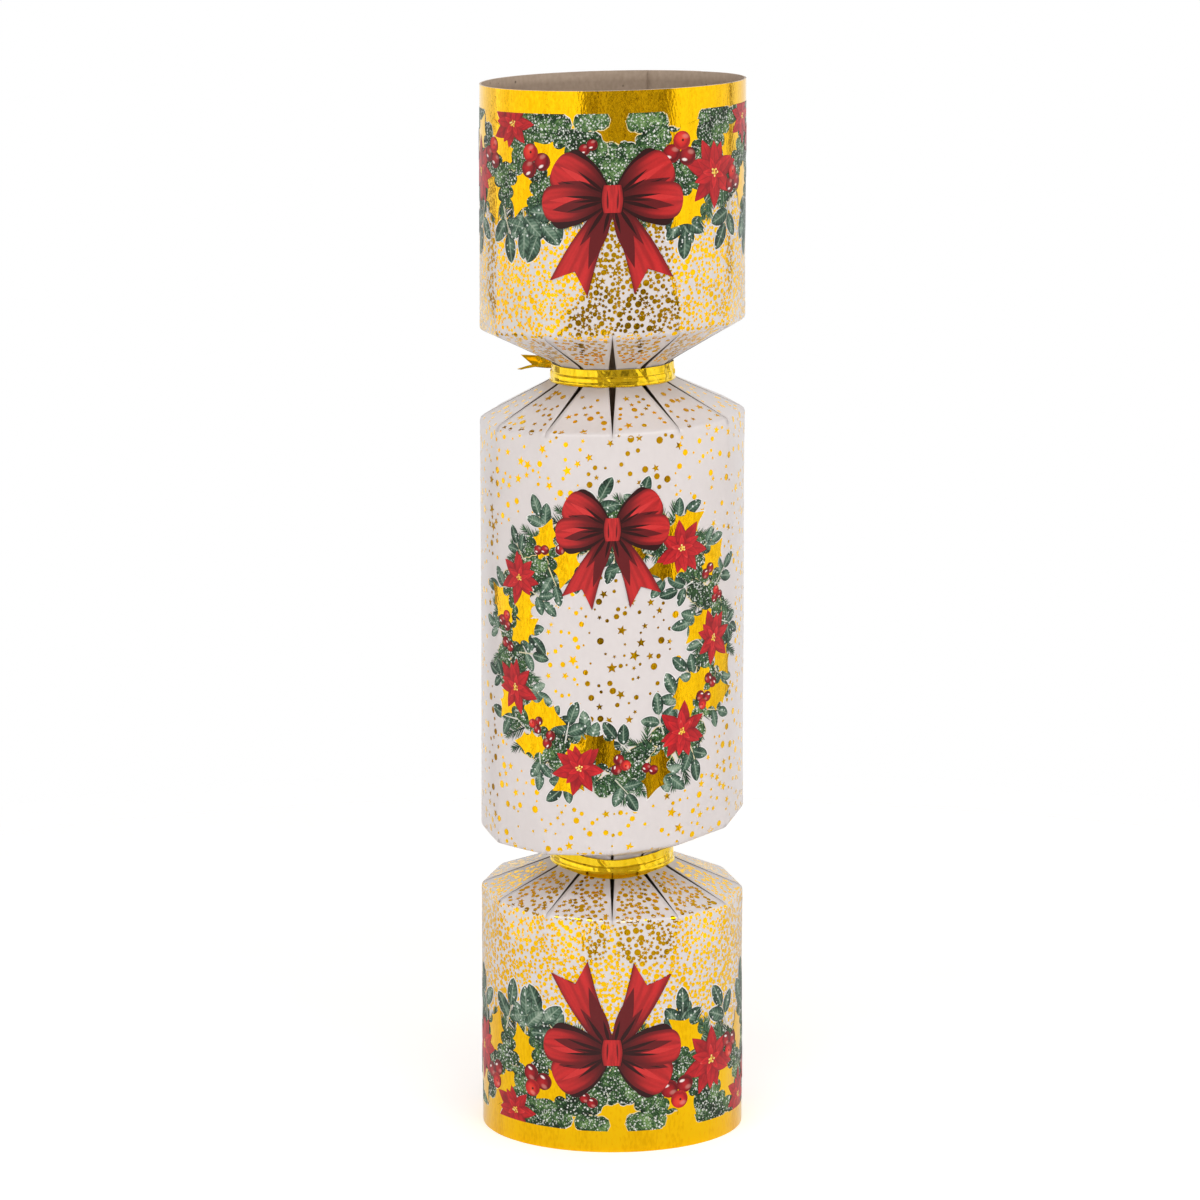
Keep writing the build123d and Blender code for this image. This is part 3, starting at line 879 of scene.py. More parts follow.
def garland(ink, gold, x, rim):
    hand = random.Random(515)

    def below_rim(aside, drop):
        return (x + aside, rim - drop)

    count = 0
    for drop, lean in FIR_ROWS:
        for step in range(FIR_COLUMNS):
            count += 1
            aside = HALF_TURN * ((step + 0.5 * (count % 2)) / FIR_COLUMNS - 0.5) + hand.uniform(-0.8, 0.8)
            if any(math.hypot((aside - a) / 1.5, drop - d) < size for a, d, size in FIR_GAPS):
                continue
            turn = math.pi / 2 + hand.uniform(-lean, lean)
            at = below_rim(aside, drop + hand.uniform(-0.4, 0.4))
            press(
                ink, FIR_BRANCHES[count % 3], at, turn, hand.uniform(0.75, 0.95), count,
                hand.uniform(-0.3, 0.3),
            )
    for step in range(HANGING_SPRIGS):
        aside = HALF_TURN * ((step + hand.random()) / HANGING_SPRIGS - 0.5)
        at = below_rim(aside, hand.uniform(16.0, 21.0))
        press(
            ink, FIR_SPRIGS[step % 4], at, math.pi + hand.uniform(-1.1, 1.1), hand.uniform(0.8, 1.1), step,
            hand.uniform(-0.2, 0.2),
        )
    for step, (aside, drop, turn) in enumerate(GARLAND_SPRAYS):
        press(
            ink, OVAL_SPRAYS[step % 3], below_rim(aside, drop), turn, hand.uniform(1.2, 1.4), step,
            hand.uniform(-0.1, 0.1),
        )
    for step, (aside, drop, turn) in enumerate(GARLAND_HOLLY):
        press(gold, HOLLY, below_rim(aside, drop), turn, hand.uniform(0.95, 1.1), step)
    for step, (aside, drop, size) in enumerate(GARLAND_BLOOMS):
        press(ink, BLOOMS[step % 3], below_rim(aside, drop), hand.uniform(0, 6), size, step)
    for step, place in enumerate(GARLAND_BERRIES):
        aside, drop, size = place
        cluster = BERRY_PAIR if place is GARLAND_PAIR else BERRY_TRIO
        press(ink, cluster, below_rim(aside, drop), hand.uniform(-0.5, 0.5), size, step)
    press(ink, BOW, below_rim(0.0, GARLAND_BOW_DROP), 0.0, GARLAND_BOW_SIZE)


# Confetti, in mm: the smallest dot on the necks, and where the sleeves' confetti thins out and ends
NECK_DOT = 0.42
NECK_SHARE = 0.36
CONFETTI_THINS = 19.0
CONFETTI_TOP = 26.0


def confetti(gold, count, low, high, sizes, share, stars, room, seed):
    hand = random.Random(seed)
    cells = {}
    for number in range(count):
        x, y = hand.uniform(-HALF_TURN, HALF_TURN), hand.uniform(low, high)
        size = sizes[0] + (sizes[1] - sizes[0]) * hand.random() ** 1.4
        into_tube = min(y, BARREL_LENGTH - y) if high > SLEEVE_LENGTH else y
        wide = TUBE_R / fold_line(into_tube).x
        if wide > 1.0:
            size = max(size, NECK_DOT)
        cell = (round(x / 2.0), round(y / 2.0))
        around = [(cell[0] + dx, cell[1] + dy) for dx in (-1, 0, 1) for dy in (-1, 0, 1)]
        near = [dot for spot in around for dot in cells.get(spot, ())]
        crowded = any(
            math.hypot((x - a) / wide, y - b) < 0.86 * (size + other) + room for a, b, other in near
        )
        to_fold = abs((x / TUBE_R + PANEL_ANGLE / 2) % PANEL_ANGLE - PANEL_ANGLE / 2) * TUBE_R / wide
        over_slit = wide > 1.0 and to_fold < size + 0.55
        if hand.random() > share(x, y) / wide or crowded or over_slit:
            continue
        cells.setdefault(cell, []).append((x, y, size))
        starry = hand.random() < stars and size > 0.24
        stamp, grow = (STAR, 1.5) if starry else (DOT, 1.0)
        press(gold, stamp, (x, y), hand.uniform(0, 6), size * grow, number, 0.0, wide)


def foil_strip(gold, section):
    edge = LAP_EDGE * TUBE_R
    for start, end, columns in ((-HALF_TURN, edge - 0.001, 130), (edge, HALF_TURN, 20)):
        made = bmesh.ops.create_grid(
            gold, x_segments=columns, y_segments=3, size=0.5, calc_uvs=True
        )["verts"]
        for vert in made:
            down = 0.5 - vert.co.y
            vert.co.x = start + (end - start) * (vert.co.x + 0.5)
            vert.co.y = section.length - 0.02 - down * (FOIL_DEPTH + 0.4 * math.sin(vert.co.x / 2.3))
            vert.co.z = 0.02


def trim_to_band(ink, section):
    whole = ink.verts[:] + ink.edges[:] + ink.faces[:]
    edge = section.length - BAND
    bmesh.ops.bisect_plane(
        ink, geom=whole, plane_co=(0, edge, 0), plane_no=(0, 1, 0), dist=1e-4, clear_outer=True
    )


def sleeve_share(x, y):
    if y > CONFETTI_THINS:
        return smooth((CONFETTI_TOP - y) / 5)
    return 0.55 + 0.45 * smooth(y / 8) if y > 0 else NECK_SHARE


def barrel_share(x, y):
    aside = (x + HALF_TURN / 2) % HALF_TURN - HALF_TURN / 2
    reach = math.hypot(aside, y - WREATH_HEIGHT)
    inner, outer = WREATH_CLEAR
    return 0.0 if inner < reach < outer else 1.0


# Finishes of the inks
INK_GLOSS = {"Coat_Weight": 0.25, "Coat_Roughness": 0.28, "Specular_IOR_Level": 0.1}


def tone_of(tree):
    return wire(
        tree, "ShaderNodeAttribute", attribute_name="tone", attribute_type="GEOMETRY"
    ).outputs["Fac"]


def print_place(tree):
    uv = wire(tree, "ShaderNodeSeparateXYZ", {"Vector": wire(tree, "ShaderNodeTexCoord").outputs["UV"]})
    return uv.outputs["X"], uv.outputs["Y"]


def from_midrib(tree, across):
    return maths(tree, "MULTIPLY", maths(tree, "ABSOLUTE", maths(tree, "SUBTRACT", across, 0.5)), 2.0)


def grainy(tree, colour, amount=0.12, scale=2600.0):
    grain = between(tree, noise(tree, object_place(tree), scale, 2.0), 0.35, 0.65)
    return blend(tree, maths(tree, "MULTIPLY", grain, amount), colour, (0.9, 0.9, 0.85), "OVERLAY")


def halo_ink():
    finish, tree, shader = new_finish("bare_white_print", Roughness=0.42, **INK_GLOSS)
    shade = ramp(tree, tone_of(tree), (
        (0.6, (0.82, 0.81, 0.81)), (0.7, (0.56, 0.58, 0.46)), (0.74, (0.56, 0.58, 0.46)),
        (0.85, (0.80, 0.66, 0.34)),
    ))
    tree.links.new(grainy(tree, shade, 0.05), shader["Base Color"])
    return finish


def fir_ink():
    finish, tree, shader = new_finish("frosted_fir_ink", Roughness=0.45, **INK_GLOSS)
    across, along = print_place(tree)
    tone = tone_of(tree)
    ribs = from_midrib(tree, across)
    out = maths(tree, "SUBTRACT", maths(tree, "MULTIPLY", along, 40.0), maths(tree, "MULTIPLY", ribs, 8.0))
    lane = {0: maths(tree, "MULTIPLY", across, 5.0), 1: out, 2: maths(tree, "MULTIPLY", tone, 40.0)}
    strokes = noise(tree, wire(tree, "ShaderNodeCombineXYZ", lane).outputs["Vector"], 1.0, 2.0)
    tuft = noise(tree, object_place(tree), 520.0, 3.0)
    light = maths(tree, "ADD", maths(tree, "MULTIPLY", strokes, 0.95), maths(tree, "MULTIPLY", tuft, 0.6))
    light = maths(tree, "ADD", light, maths(tree, "MULTIPLY", maths(tree, "SUBTRACT", tone, 0.5), 0.14))
    light = maths(tree, "SUBTRACT", light, maths(tree, "MULTIPLY", between(tree, ribs, 0.45, 1.0), 0.1))
    green = ramp(tree, light, (
        (0.56, (0.004, 0.010, 0.005)), (0.70, (0.012, 0.043, 0.014)),
        (0.84, (0.045, 0.122, 0.036)), (1.0, (0.18, 0.31, 0.11)),
    ))
    fine = use_group(tree, SNOW, Scale=2500.0, Size=0.6)["Specks"]
    coarse = use_group(tree, SNOW, Scale=1500.0, Size=0.4)["Specks"]
    snow = maths(tree, "MAXIMUM", maths(tree, "MULTIPLY", fine, 0.62), coarse)
    tree.links.new(blend(tree, snow, green, (0.76, 0.80, 0.77)), shader["Base Color"])
    return finish


def needle_ink():
    finish, tree, shader = new_finish("fir_needle_ink", Roughness=0.45, **INK_GLOSS)
    along = print_place(tree)[1]
    light = maths(
        tree, "ADD", maths(tree, "MULTIPLY", tone_of(tree), 0.7), maths(tree, "MULTIPLY", along, 0.25)
    )
    green = ramp(
        tree, light,
        (
            (0.1, (0.008, 0.022, 0.014)), (0.45, (0.030, 0.085, 0.040)), (0.8, (0.085, 0.185, 0.085)),
            (0.97, (0.45, 0.55, 0.45)),
        ),
    )
    snow = use_group(tree, SNOW, Scale=1500.0, Size=0.3)["Specks"]
    tree.links.new(
        blend(tree, maths(tree, "MULTIPLY", snow, 0.8), green, (0.8, 0.84, 0.82)), shader["Base Color"]
    )
    return finish


def leaf_ink():
    finish, tree, shader = new_finish("oval_leaf_ink", Roughness=0.45, **INK_GLOSS)
    across, along = print_place(tree)
    ribs = from_midrib(tree, across)
    veins = maths(
        tree, "SUBTRACT", maths(tree, "MULTIPLY", along, 44.0), maths(tree, "MULTIPLY", ribs, 7.0)
    )
    wash = noise(tree, object_place(tree), 520.0, 3.0)
    light = maths(
        tree, "ADD", maths(tree, "MULTIPLY", wash, 1.1),
        maths(tree, "MULTIPLY", maths(tree, "SINE", veins), 0.08),
    )
    light = maths(tree, "ADD", light, maths(tree, "MULTIPLY", tone_of(tree), 0.28))
    light = maths(tree, "SUBTRACT", light, maths(tree, "MULTIPLY", between(tree, ribs, 0.0, 0.8), 0.12))
    green = ramp(tree, light, (
        (0.30, (0.012, 0.024, 0.018)), (0.55, (0.038, 0.088, 0.058)), (0.76, (0.118, 0.208, 0.145)),
        (1.0, (0.32, 0.41, 0.33)),
    ))
    rim = maths(tree, "MULTIPLY", between(tree, ribs, 0.72, 1.0), 0.75)
    green = blend(tree, rim, green, (0.010, 0.022, 0.018))
    midrib = maths(tree, "SUBTRACT", 1.0, between(tree, ribs, 0.03, 0.16))
    green = blend(tree, maths(tree, "MULTIPLY", midrib, 0.6), green, (0.38, 0.48, 0.38))
    snow = maths(tree, "MULTIPLY", use_group(tree, SNOW, Scale=1350.0, Size=0.36)["Specks"], 0.85)
    tree.links.new(blend(tree, snow, green, (0.8, 0.85, 0.84)), shader["Base Color"])
    return finish


def petal_ink():
    finish, tree, shader = new_finish("red_petal_ink", Roughness=0.42, **INK_GLOSS)
    across, along = print_place(tree)
    ribs = from_midrib(tree, across)
    streak = noise(tree, object_place(tree), 900.0, 3.0)
    light = maths(tree, "ADD", maths(tree, "MULTIPLY", streak, 0.5), maths(tree, "MULTIPLY", along, 0.35))
    light = maths(tree, "ADD", light, maths(tree, "MULTIPLY", tone_of(tree), 0.3))
    red = ramp(
        tree, light,
        (
            (0.25, (0.13, 0.005, 0.010)), (0.5, (0.42, 0.012, 0.018)), (0.8, (0.68, 0.020, 0.026)),
            (1.0, (0.84, 0.12, 0.10)),
        ),
    )
    rim = between(tree, ribs, 0.7, 1.0)
    red = blend(tree, maths(tree, "MULTIPLY", rim, 0.6), red, (0.16, 0.005, 0.012))
    midrib = maths(tree, "SUBTRACT", 1.0, between(tree, ribs, 0.02, 0.14))
    tree.links.new(
        blend(tree, maths(tree, "MULTIPLY", midrib, 0.5), red, (0.22, 0.008, 0.014)), shader["Base Color"]
    )
    return finish


def stamen_ink():
    finish, tree, shader = new_finish("yellow_stamen_ink", Roughness=0.42, **INK_GLOSS)
    gold = ramp(
        tree, tone_of(tree),
        ((0.0, (0.60, 0.25, 0.02)), (0.5, (0.90, 0.60, 0.05)), (1.0, (0.95, 0.80, 0.25))),
    )
    tree.links.new(grainy(tree, gold), shader["Base Color"])
    return finish


def berry_ink():
    finish, tree, shader = new_finish("red_berry_ink", Roughness=0.40, **INK_GLOSS)
    uv = wire(tree, "ShaderNodeTexCoord").outputs["UV"]
    ripe = maths(tree, "GREATER_THAN", tone_of(tree), 0.7)

    def from_spot(x, y, wide=1.0):
        place = wire(tree, "ShaderNodeMapping", {"Vector": uv, "Location": (-x, -y, 0.0)}).outputs["Vector"]
        squeezed = wire(
            tree, "ShaderNodeVectorMath", {0: place, 1: (1 / wide, 1.0, 1.0)}, operation="MULTIPLY"
        )
        return wire(
            tree, "ShaderNodeVectorMath", {0: squeezed.outputs[0]}, operation="LENGTH"
        ).outputs["Value"]

    def spot(x, y, size, soft, wide=1.0):
        return maths(tree, "SUBTRACT", 1.0, between(tree, from_spot(x, y, wide), size, size + soft))

    wash = noise(tree, object_place(tree), 900.0, 2.0)
    ball = maths(
        tree, "ADD", from_spot(0.44, 0.60),
        maths(tree, "MULTIPLY", maths(tree, "SUBTRACT", wash, 0.5), 0.25),
    )
    crimson = ramp(tree, ball, (
        (0.05, (0.46, 0.014, 0.020)), (0.28, (0.30, 0.008, 0.014)), (0.46, (0.11, 0.004, 0.008)),
        (0.57, (0.22, 0.010, 0.014)),
    ))
    bright = ramp(tree, ball, (
        (0.05, (0.80, 0.060, 0.030)), (0.30, (0.66, 0.022, 0.022)), (0.46, (0.34, 0.010, 0.014)),
        (0.57, (0.46, 0.020, 0.020)),
    ))
    red = blend(tree, ripe, crimson, bright)
    red = blend(
        tree, maths(tree, "MULTIPLY", ripe, spot(0.54, 0.52, 0.04, 0.05)), red, (0.03, 0.004, 0.004)
    )
    unripe = maths(tree, "SUBTRACT", 1.0, ripe)
    red = blend(
        tree, maths(tree, "MULTIPLY", unripe, spot(0.34, 0.30, 0.045, 0.06, 2.0)), red, (0.90, 0.80, 0.78)
    )
    red = blend(
        tree, maths(tree, "MULTIPLY", spot(0.66, 0.74, 0.05, 0.12, 1.6), 0.35), red, (0.90, 0.45, 0.38)
    )
    tree.links.new(red, shader["Base Color"])
    return finish


def ribbon_ink():
    finish, tree, shader = new_finish("red_ribbon_ink", Roughness=0.40, **INK_GLOSS)
    across, along = print_place(tree)
    tone = tone_of(tree)
    ribs = from_midrib(tree, across)
    lane = {0: maths(tree, "MULTIPLY", across, 6.0), 1: along, 2: maths(tree, "MULTIPLY", tone, 40.0)}
    satin = between(
        tree, noise(tree, wire(tree, "ShaderNodeCombineXYZ", lane).outputs["Vector"], 1.0, 1.0), 0.3, 0.7
    )
    knot = maths(tree, "GREATER_THAN", tone, 0.7)
    glow = maths(tree, "MAXIMUM", between(tree, along, 0.0, 0.55), knot)
    edge = maths(tree, "SUBTRACT", 1.0, maths(tree, "MULTIPLY", between(tree, ribs, 0.6, 1.0), 0.45))
    light = maths(
        tree, "MULTIPLY", maths(tree, "MULTIPLY", glow, edge),
        maths(tree, "ADD", maths(tree, "MULTIPLY", satin, 0.4), 0.6),
    )
    cloth = ramp(tree, light, (
        (0.05, (0.075, 0.009, 0.011)), (0.35, (0.20, 0.013, 0.016)), (0.62, (0.40, 0.020, 0.022)),
        (0.95, (0.58, 0.026, 0.028)),
    ))
    flat = ramp(tree, tone, (
        (0.08, (0.030, 0.007, 0.008)), (0.16, (0.13, 0.011, 0.014)), (0.85, (0.13, 0.011, 0.014)),
        (0.92, (0.62, 0.035, 0.036)),
    ))
    shaded = maths(
        tree, "MULTIPLY", maths(tree, "GREATER_THAN", tone, 0.35), maths(tree, "LESS_THAN", tone, 0.85)
    )
    tree.links.new(grainy(tree, blend(tree, shaded, flat, cloth), 0.08), shader["Base Color"])
    return finish


INKS = [
    halo_ink(), fir_ink(), needle_ink(), leaf_ink(), petal_ink(), stamen_ink(), berry_ink(), ribbon_ink()
]


def print_section(section):
    ink, gold = new_drawing(), new_drawing()
    if section is BARREL:
        for x in (0.0, HALF_TURN):
            wreath(ink, gold, x, WREATH_HEIGHT)
        confetti(
            gold, count=4600, low=-12.5, high=BARREL_LENGTH + 12.5, sizes=(0.21, 0.74), share=barrel_share,
            stars=0.4, room=0.5, seed=91,
        )
    else:
        foil_strip(gold, section)
        for x in (0.0, HALF_TURN):
            garland(ink, gold, x, section.length)
        trim_to_band(ink, section)
        confetti(
            gold, count=26000, low=-13.0, high=CONFETTI_TOP, sizes=(0.26, 0.68), share=sleeve_share,
            stars=0.3, room=0.0, seed=17,
        )
    lay_on_card(gold, section, f"{section.piece}_foil", [PRINT_FOIL])
    lay_on_card(ink, section, f"{section.piece}_ink", INKS)


for section in (UPPER, BARREL, LOWER):
    print_section(section)


# Foil ribbons tied round the necks, from the top edge of each down round its rolled lower edge
RIBBON_FOLDS = (
    (0.0, 0.14, 1.5), (0.45, 0.08, -0.05), (0.55, 0.32, -0.2), (0.75, 0.40, -0.95), (0.9, 0.24, -1.75),
    (1.0, 0.05, -1.85),
)
RIBBON_FOIL_THICK = 0.06
NECK_FLARE = (TUBE_R - WAIST_R) / NECK_RISE

# Where the foil is bunched (turn from the front, width, depth) and where it is pinched, in radians
BUNCHED = ((-1.5, 0.16, 1.0), (-0.1, 0.22, 0.7), (0.6, 0.22, 0.9), (1.35, 0.3, 1.3), (2.5, 0.5, 0.8))
PINCHES = (-1.42, -0.12, 0.52, 0.78, 1.36)


def creasing(place, size, seed):
    spot = place / size + Vector((7.3 * seed, 1.9 * seed, 0.0))
    return abs(crumple.noise(spot)) + 0.5 * abs(crumple.noise(2.3 * spot)) - 0.25


def ribbon_profile(down, swell):
    for (start, out, rise), (end, next_out, next_rise) in zip(RIBBON_FOLDS, RIBBON_FOLDS[1:]):
        if down <= end + 1e-6:
            share = (down - start) / (end - start)
            out, rise = out + (next_out - out) * share, rise + (next_rise - rise) * share
            return (out * swell if rise < -0.1 else out), rise


def ribbon_ring(bm, tie, seed):
    made = bmesh.ops.create_grid(bm, x_segments=360, y_segments=20, size=0.5)["verts"]
    for vert in made:
        turn = tie.knot_turn + 2 * math.pi * (vert.co.x + 0.5)
        heading = Vector((math.sin(turn), -math.cos(turn), 0.0))
        swell = 0.95 + 0.4 * crumple.noise(1.7 * heading + Vector((0, 0, seed)))
        out, rise = ribbon_profile(0.5 - vert.co.y, swell)
        place = TIE_R * heading + Vector((0.0, 0.0, 0.6 * rise))
        bunched = sum(deep * math.exp(-((turn - at) / wide) ** 2) for at, wide, deep in BUNCHED)
        pinched = sum(math.exp(-((turn - at + 0.06 * rise) / 0.035) ** 2) for at in PINCHES)
        out += (0.05 + 0.26 * bunched) * creasing(place, 2.9, seed) - 0.18 * pinched
        rise += (0.03 + 0.08 * bunched) * crumple.noise(place / 2.6 + Vector((0, 0, seed)))
        rise -= tie.dip * math.exp(-((turn / 0.55) ** 2))
        neck = WAIST_R + NECK_FLARE * max(abs(rise) - HALF_WAIST, 0.0) + 0.1
        rise += leaning(tie.waist, tie.waist, 0.0, turn)
        vert.co = MM * (heading * max(TIE_R + out, neck) + Vector((0, 0, tie.height + rise)))
    bmesh.ops.remove_doubles(bm, verts=made, dist=0.02 * MM)


def ribbon_tail(bm, knot, heading, length, width, taper, droop, curl, slant, seed):
    way = Vector((math.cos(heading), math.sin(heading), 0.0))
    aside = Vector((-way.y, way.x, 0.0))
    made = bmesh.ops.create_grid(bm, x_segments=28, y_segments=5, size=0.5)["verts"]
    for vert in made:
        along, across = vert.co.x + 0.5, vert.co.y
        reach = length * along * (1 - slant * (0.5 - across) * along)
        spot = Vector((reach, across * width, seed))
        spread = width * (0.5 + 0.5 * smooth(3 * along)) * (1 - taper * along)
        lean = curl * along * along + 0.5 * creasing(spot, 2.6, seed)
        height = spread * across - droop * along * along
        vert.co = MM * (knot + way * reach + aside * lean + Vector((0, 0, height)))


def ribbon_knot(bm, knot, seed):
    made = bmesh.ops.create_icosphere(bm, subdivisions=4, radius=1.0)["verts"]
    for vert in made:
        swell = 1.0 + 0.5 * creasing(vert.co.copy(), 0.55, seed)
        vert.co = MM * (knot + Vector((1.45 * vert.co.x, 1.45 * vert.co.y, 1.6 * vert.co.z)) * swell)


def tie_ribbon(tie, seed):
    height = tie.height + leaning(tie.waist, tie.waist, 0.0, tie.knot_turn)
    knot = Vector((KNOT_R * math.sin(tie.knot_turn), -KNOT_R * math.cos(tie.knot_turn), height))
    straight_out = tie.knot_turn - math.pi / 2
    bm = bmesh.new()
    ribbon_ring(bm, tie, seed)
    ribbon_tail(bm, knot, straight_out + math.radians(50), 9.2, 2.5, 0.0, -0.5, 0.9, 0.3, seed)
    ribbon_tail(bm, knot, straight_out + math.radians(56), 9.9, 1.2, 0.85, 1.3, -0.6, 0.1, seed + 2)
    ribbon_tail(bm, knot, straight_out - math.radians(50), 9.2, 2.5, 0.0, 0.4, -0.9, 0.3, seed + 4)
    ring = new_piece(bm, tie.name, [RIBBON_FOIL], "barrel", f"{tie.name}_ribbon")
    foil = ring.modifiers.new("foil", "SOLIDIFY")
    foil.thickness = RIBBON_FOIL_THICK * MM
    bm = bmesh.new()
    ribbon_knot(bm, knot, seed)
    new_piece(bm, f"{tie.name}_knot", [RIBBON_FOIL], "barrel")


for seed, tie in enumerate(TIES, 1):
    tie_ribbon(tie, seed)


# What the barrel holds: a rolled tissue hat, its band and motto, a snap and a spinning top
HAT_TURNS = 5
HAT_POINTS = 10
HAT_POINT_DEPTH = 6.0
HAT_BORE = 3.35
TISSUE_THICK = 0.12


def tissue_finish():
    finish, tree, shader = new_finish("red_tissue", Roughness=0.85)
    paper = use_group(tree, PAPER_FIBRE, Fibre=1100.0, Cloud=130.0)
    soft = maths(
        tree, "ADD", maths(tree, "MULTIPLY", paper["Fibre"], 0.5),
        maths(tree, "MULTIPLY", paper["Cloud"], 0.5),
    )
    tree.links.new(
        ramp(tree, soft, ((0.3, (0.40, 0.016, 0.028)), (0.7, (0.60, 0.035, 0.045)))), shader["Base Color"]
    )
    tree.links.new(bump(tree, soft, 0.4, 0.25), shader["Normal"])
    return finish


def rolled_hat():
    low, high = (Vector(corner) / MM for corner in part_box("paper_hat"))
    axis = (low + high) / 2
    outer, length = (high.x - low.x) / 2 - 0.15, high.z - low.z
    bm = bmesh.new()
    made = bmesh.ops.create_grid(bm, x_segments=60 * HAT_TURNS, y_segments=24, size=0.5)["verts"]
    for vert in made:
        along, up = vert.co.x + 0.5, vert.co.y + 0.5
        turn = 2 * math.pi * HAT_TURNS * along
        heading = Vector((math.cos(turn), math.sin(turn), 0.0))
        notch = HAT_POINT_DEPTH * abs(2 * (HAT_POINTS * along % 1.0) - 1)
        height = up * (length - notch)
        radius = HAT_BORE + (outer - HAT_BORE) * along
        radius += 0.12 * crumple.noise(Vector((4 * along * HAT_TURNS, 7.0, height / 5)))
        radius += 0.1 * creasing(Vector((radius * turn, 0.0, height)), 4.0, 3)
        vert.co = MM * (Vector((axis.x, axis.y, low.z + height)) + heading * radius)
    hat = new_piece(bm, "rolled_hat", [tissue_finish()], "hat", "paper_hat")
    sheet = hat.modifiers.new("tissue", "SOLIDIFY")
    sheet.thickness = TISSUE_THICK * MM


def grain_finish(name, dark, pale, scale, strength, roughness):
    finish, tree, shader = new_finish(name, Roughness=roughness)
    grit = use_group(tree, SNOW, Scale=scale, Size=0.9)["Specks"]
    cloud = use_group(tree, PAPER_FIBRE, Fibre=scale, Cloud=scale / 8)["Cloud"]
    colour = ramp(tree, cloud, ((0.35, dark), (0.65, pale)))
    tree.links.new(blend(tree, grit, colour, tuple(1.6 * part for part in pale)), shader["Base Color"])
    tree.links.new(bump(tree, grit, strength, 0.12), shader["Normal"])
    return finish


def glue_finish():
    finish, tree, shader = new_finish(
        "set_hot_glue", Roughness=0.32, Subsurface_Weight=0.3, Subsurface_Scale=0.001
    )
    wave = noise(tree, object_place(tree), 420.0, 2.0)
    tree.links.new(
        ramp(tree, wave, ((0.3, (0.66, 0.58, 0.40)), (0.7, (0.82, 0.75, 0.58)))), shader["Base Color"]
    )
    tree.links.new(bump(tree, wave, 0.5, 0.3), shader["Normal"])
    return finish


def wood_finish(name, dark, pale, rings):
    finish, tree, shader = new_finish(name, Roughness=0.42, Coat_Weight=0.3, Coat_Roughness=0.2)
    place = object_place(tree, (1.0, 1.0, 0.12), (0.004, 0.007, 0.0))
    warp = noise(tree, place, 160.0, 2.0)
    grown = wire(
        tree, "ShaderNodeTexWave", {"Vector": place, "Scale": rings, "Distortion": 3.0, "Detail": 2.0},
        wave_type="RINGS", rings_direction="Z",
    ).outputs["Fac"]
    fibre = noise(tree, place, 2600.0, 3.0)
    grain = maths(tree, "ADD", maths(tree, "MULTIPLY", grown, 0.45), maths(tree, "MULTIPLY", fibre, 0.35))
    grain = maths(tree, "ADD", grain, maths(tree, "MULTIPLY", warp, 0.3))
    tree.links.new(ramp(tree, grain, ((0.25, dark), (0.8, pale))), shader["Base Color"])
    tree.links.new(bump(tree, fibre, 0.2, 0.05), shader["Normal"])
    return finish


def finish_contents():
    strip = card_finish(
        "snap_strip_card", (0.50, 0.42, 0.30), (0.66, 0.57, 0.43), 1200.0, 0.12, Roughness=0.85
    )
    glue = glue_finish()
    finishes = {
        "hat_band": card_finish(
            "hat_band_paper", (0.76, 0.74, 0.70), (0.86, 0.85, 0.81), 1500.0, Roughness=0.8
        ),
        "motto_slip": card_finish(
            "motto_paper", (0.82, 0.80, 0.76), (0.90, 0.89, 0.86), 1700.0, Roughness=0.75
        ),
        "snap_upper_strip": strip,
        "snap_lower_strip": strip,
        "snap_guard_sleeve": card_finish(
            "brown_guard_paper", (0.40, 0.28, 0.17), (0.56, 0.42, 0.27), 1000.0, 0.2, Roughness=0.9
        ),
        "snap_charge_patch": grain_finish(
            "snap_priming", (0.012, 0.011, 0.011), (0.05, 0.045, 0.045), 3200.0, 0.6, 0.8
        ),
        "snap_grit_patch": grain_finish(
            "snap_grit", (0.12, 0.10, 0.085), (0.26, 0.23, 0.20), 2600.0, 0.8, 0.9
        ),
        "upper_glue_dab": glue,
        "lower_glue_dab": glue,
        "top_body": wood_finish("turned_beech", (0.42, 0.245, 0.115), (0.64, 0.44, 0.25), 95.0),
        "top_spindle": wood_finish("spindle_birch", (0.52, 0.35, 0.19), (0.72, 0.54, 0.34), 160.0),
    }
    for node, finish in finishes.items():
        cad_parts[node].material_slots[0].material = finish


rolled_hat()
finish_contents()


# Stage, light and camera
def soft_light(name, power, size, place, aim):
    lamp = bpy.data.lights.new(name, "AREA")
    lamp.shape = "RECTANGLE"
    lamp.size, lamp.size_y = size
    lamp.energy = power
    light = bpy.data.objects.new(name, lamp)
    light.location = place
    light.rotation_euler = (Vector(aim) - Vector(place)).to_track_quat("-Z", "Y").to_euler()
    light.visible_camera = False
    bpy.context.collection.objects.link(light)
    return light


def round_the_front(azimuth, distance, height):
    angle = math.radians(azimuth)
    return (distance * math.sin(angle), -distance * math.cos(angle), height)


MIDDLE = (0.0, 0.0, 0.104)
FLOOR_R = 0.5
FLOOR_FADE = (0.22, 0.34)
FLOOR_WHITENING = 0.42
FLOOR_GLOSS_SHARE = 0.3

# The room, which only mirrors and light see: shelves and flags by the rise of a ray, flags in degrees
BACKDROP_WINGS = (0.15, -0.28)
PALE_SHELVES = ((-0.15, -0.112), (-0.085, 0.4))
SHELF_EDGE = 0.01
SHELF_SHARE = 0.8
SHELF_COLOUR = (0.58, 0.52, 0.45)
DIM_ROOM = (0.07, 0.058, 0.048)
PALE_ROOM = (0.60, 0.54, 0.49)
Flag = namedtuple("Flag", "start end top")
FLAGS = (Flag(-138, -119, -0.107), Flag(116, 126, 1.0))

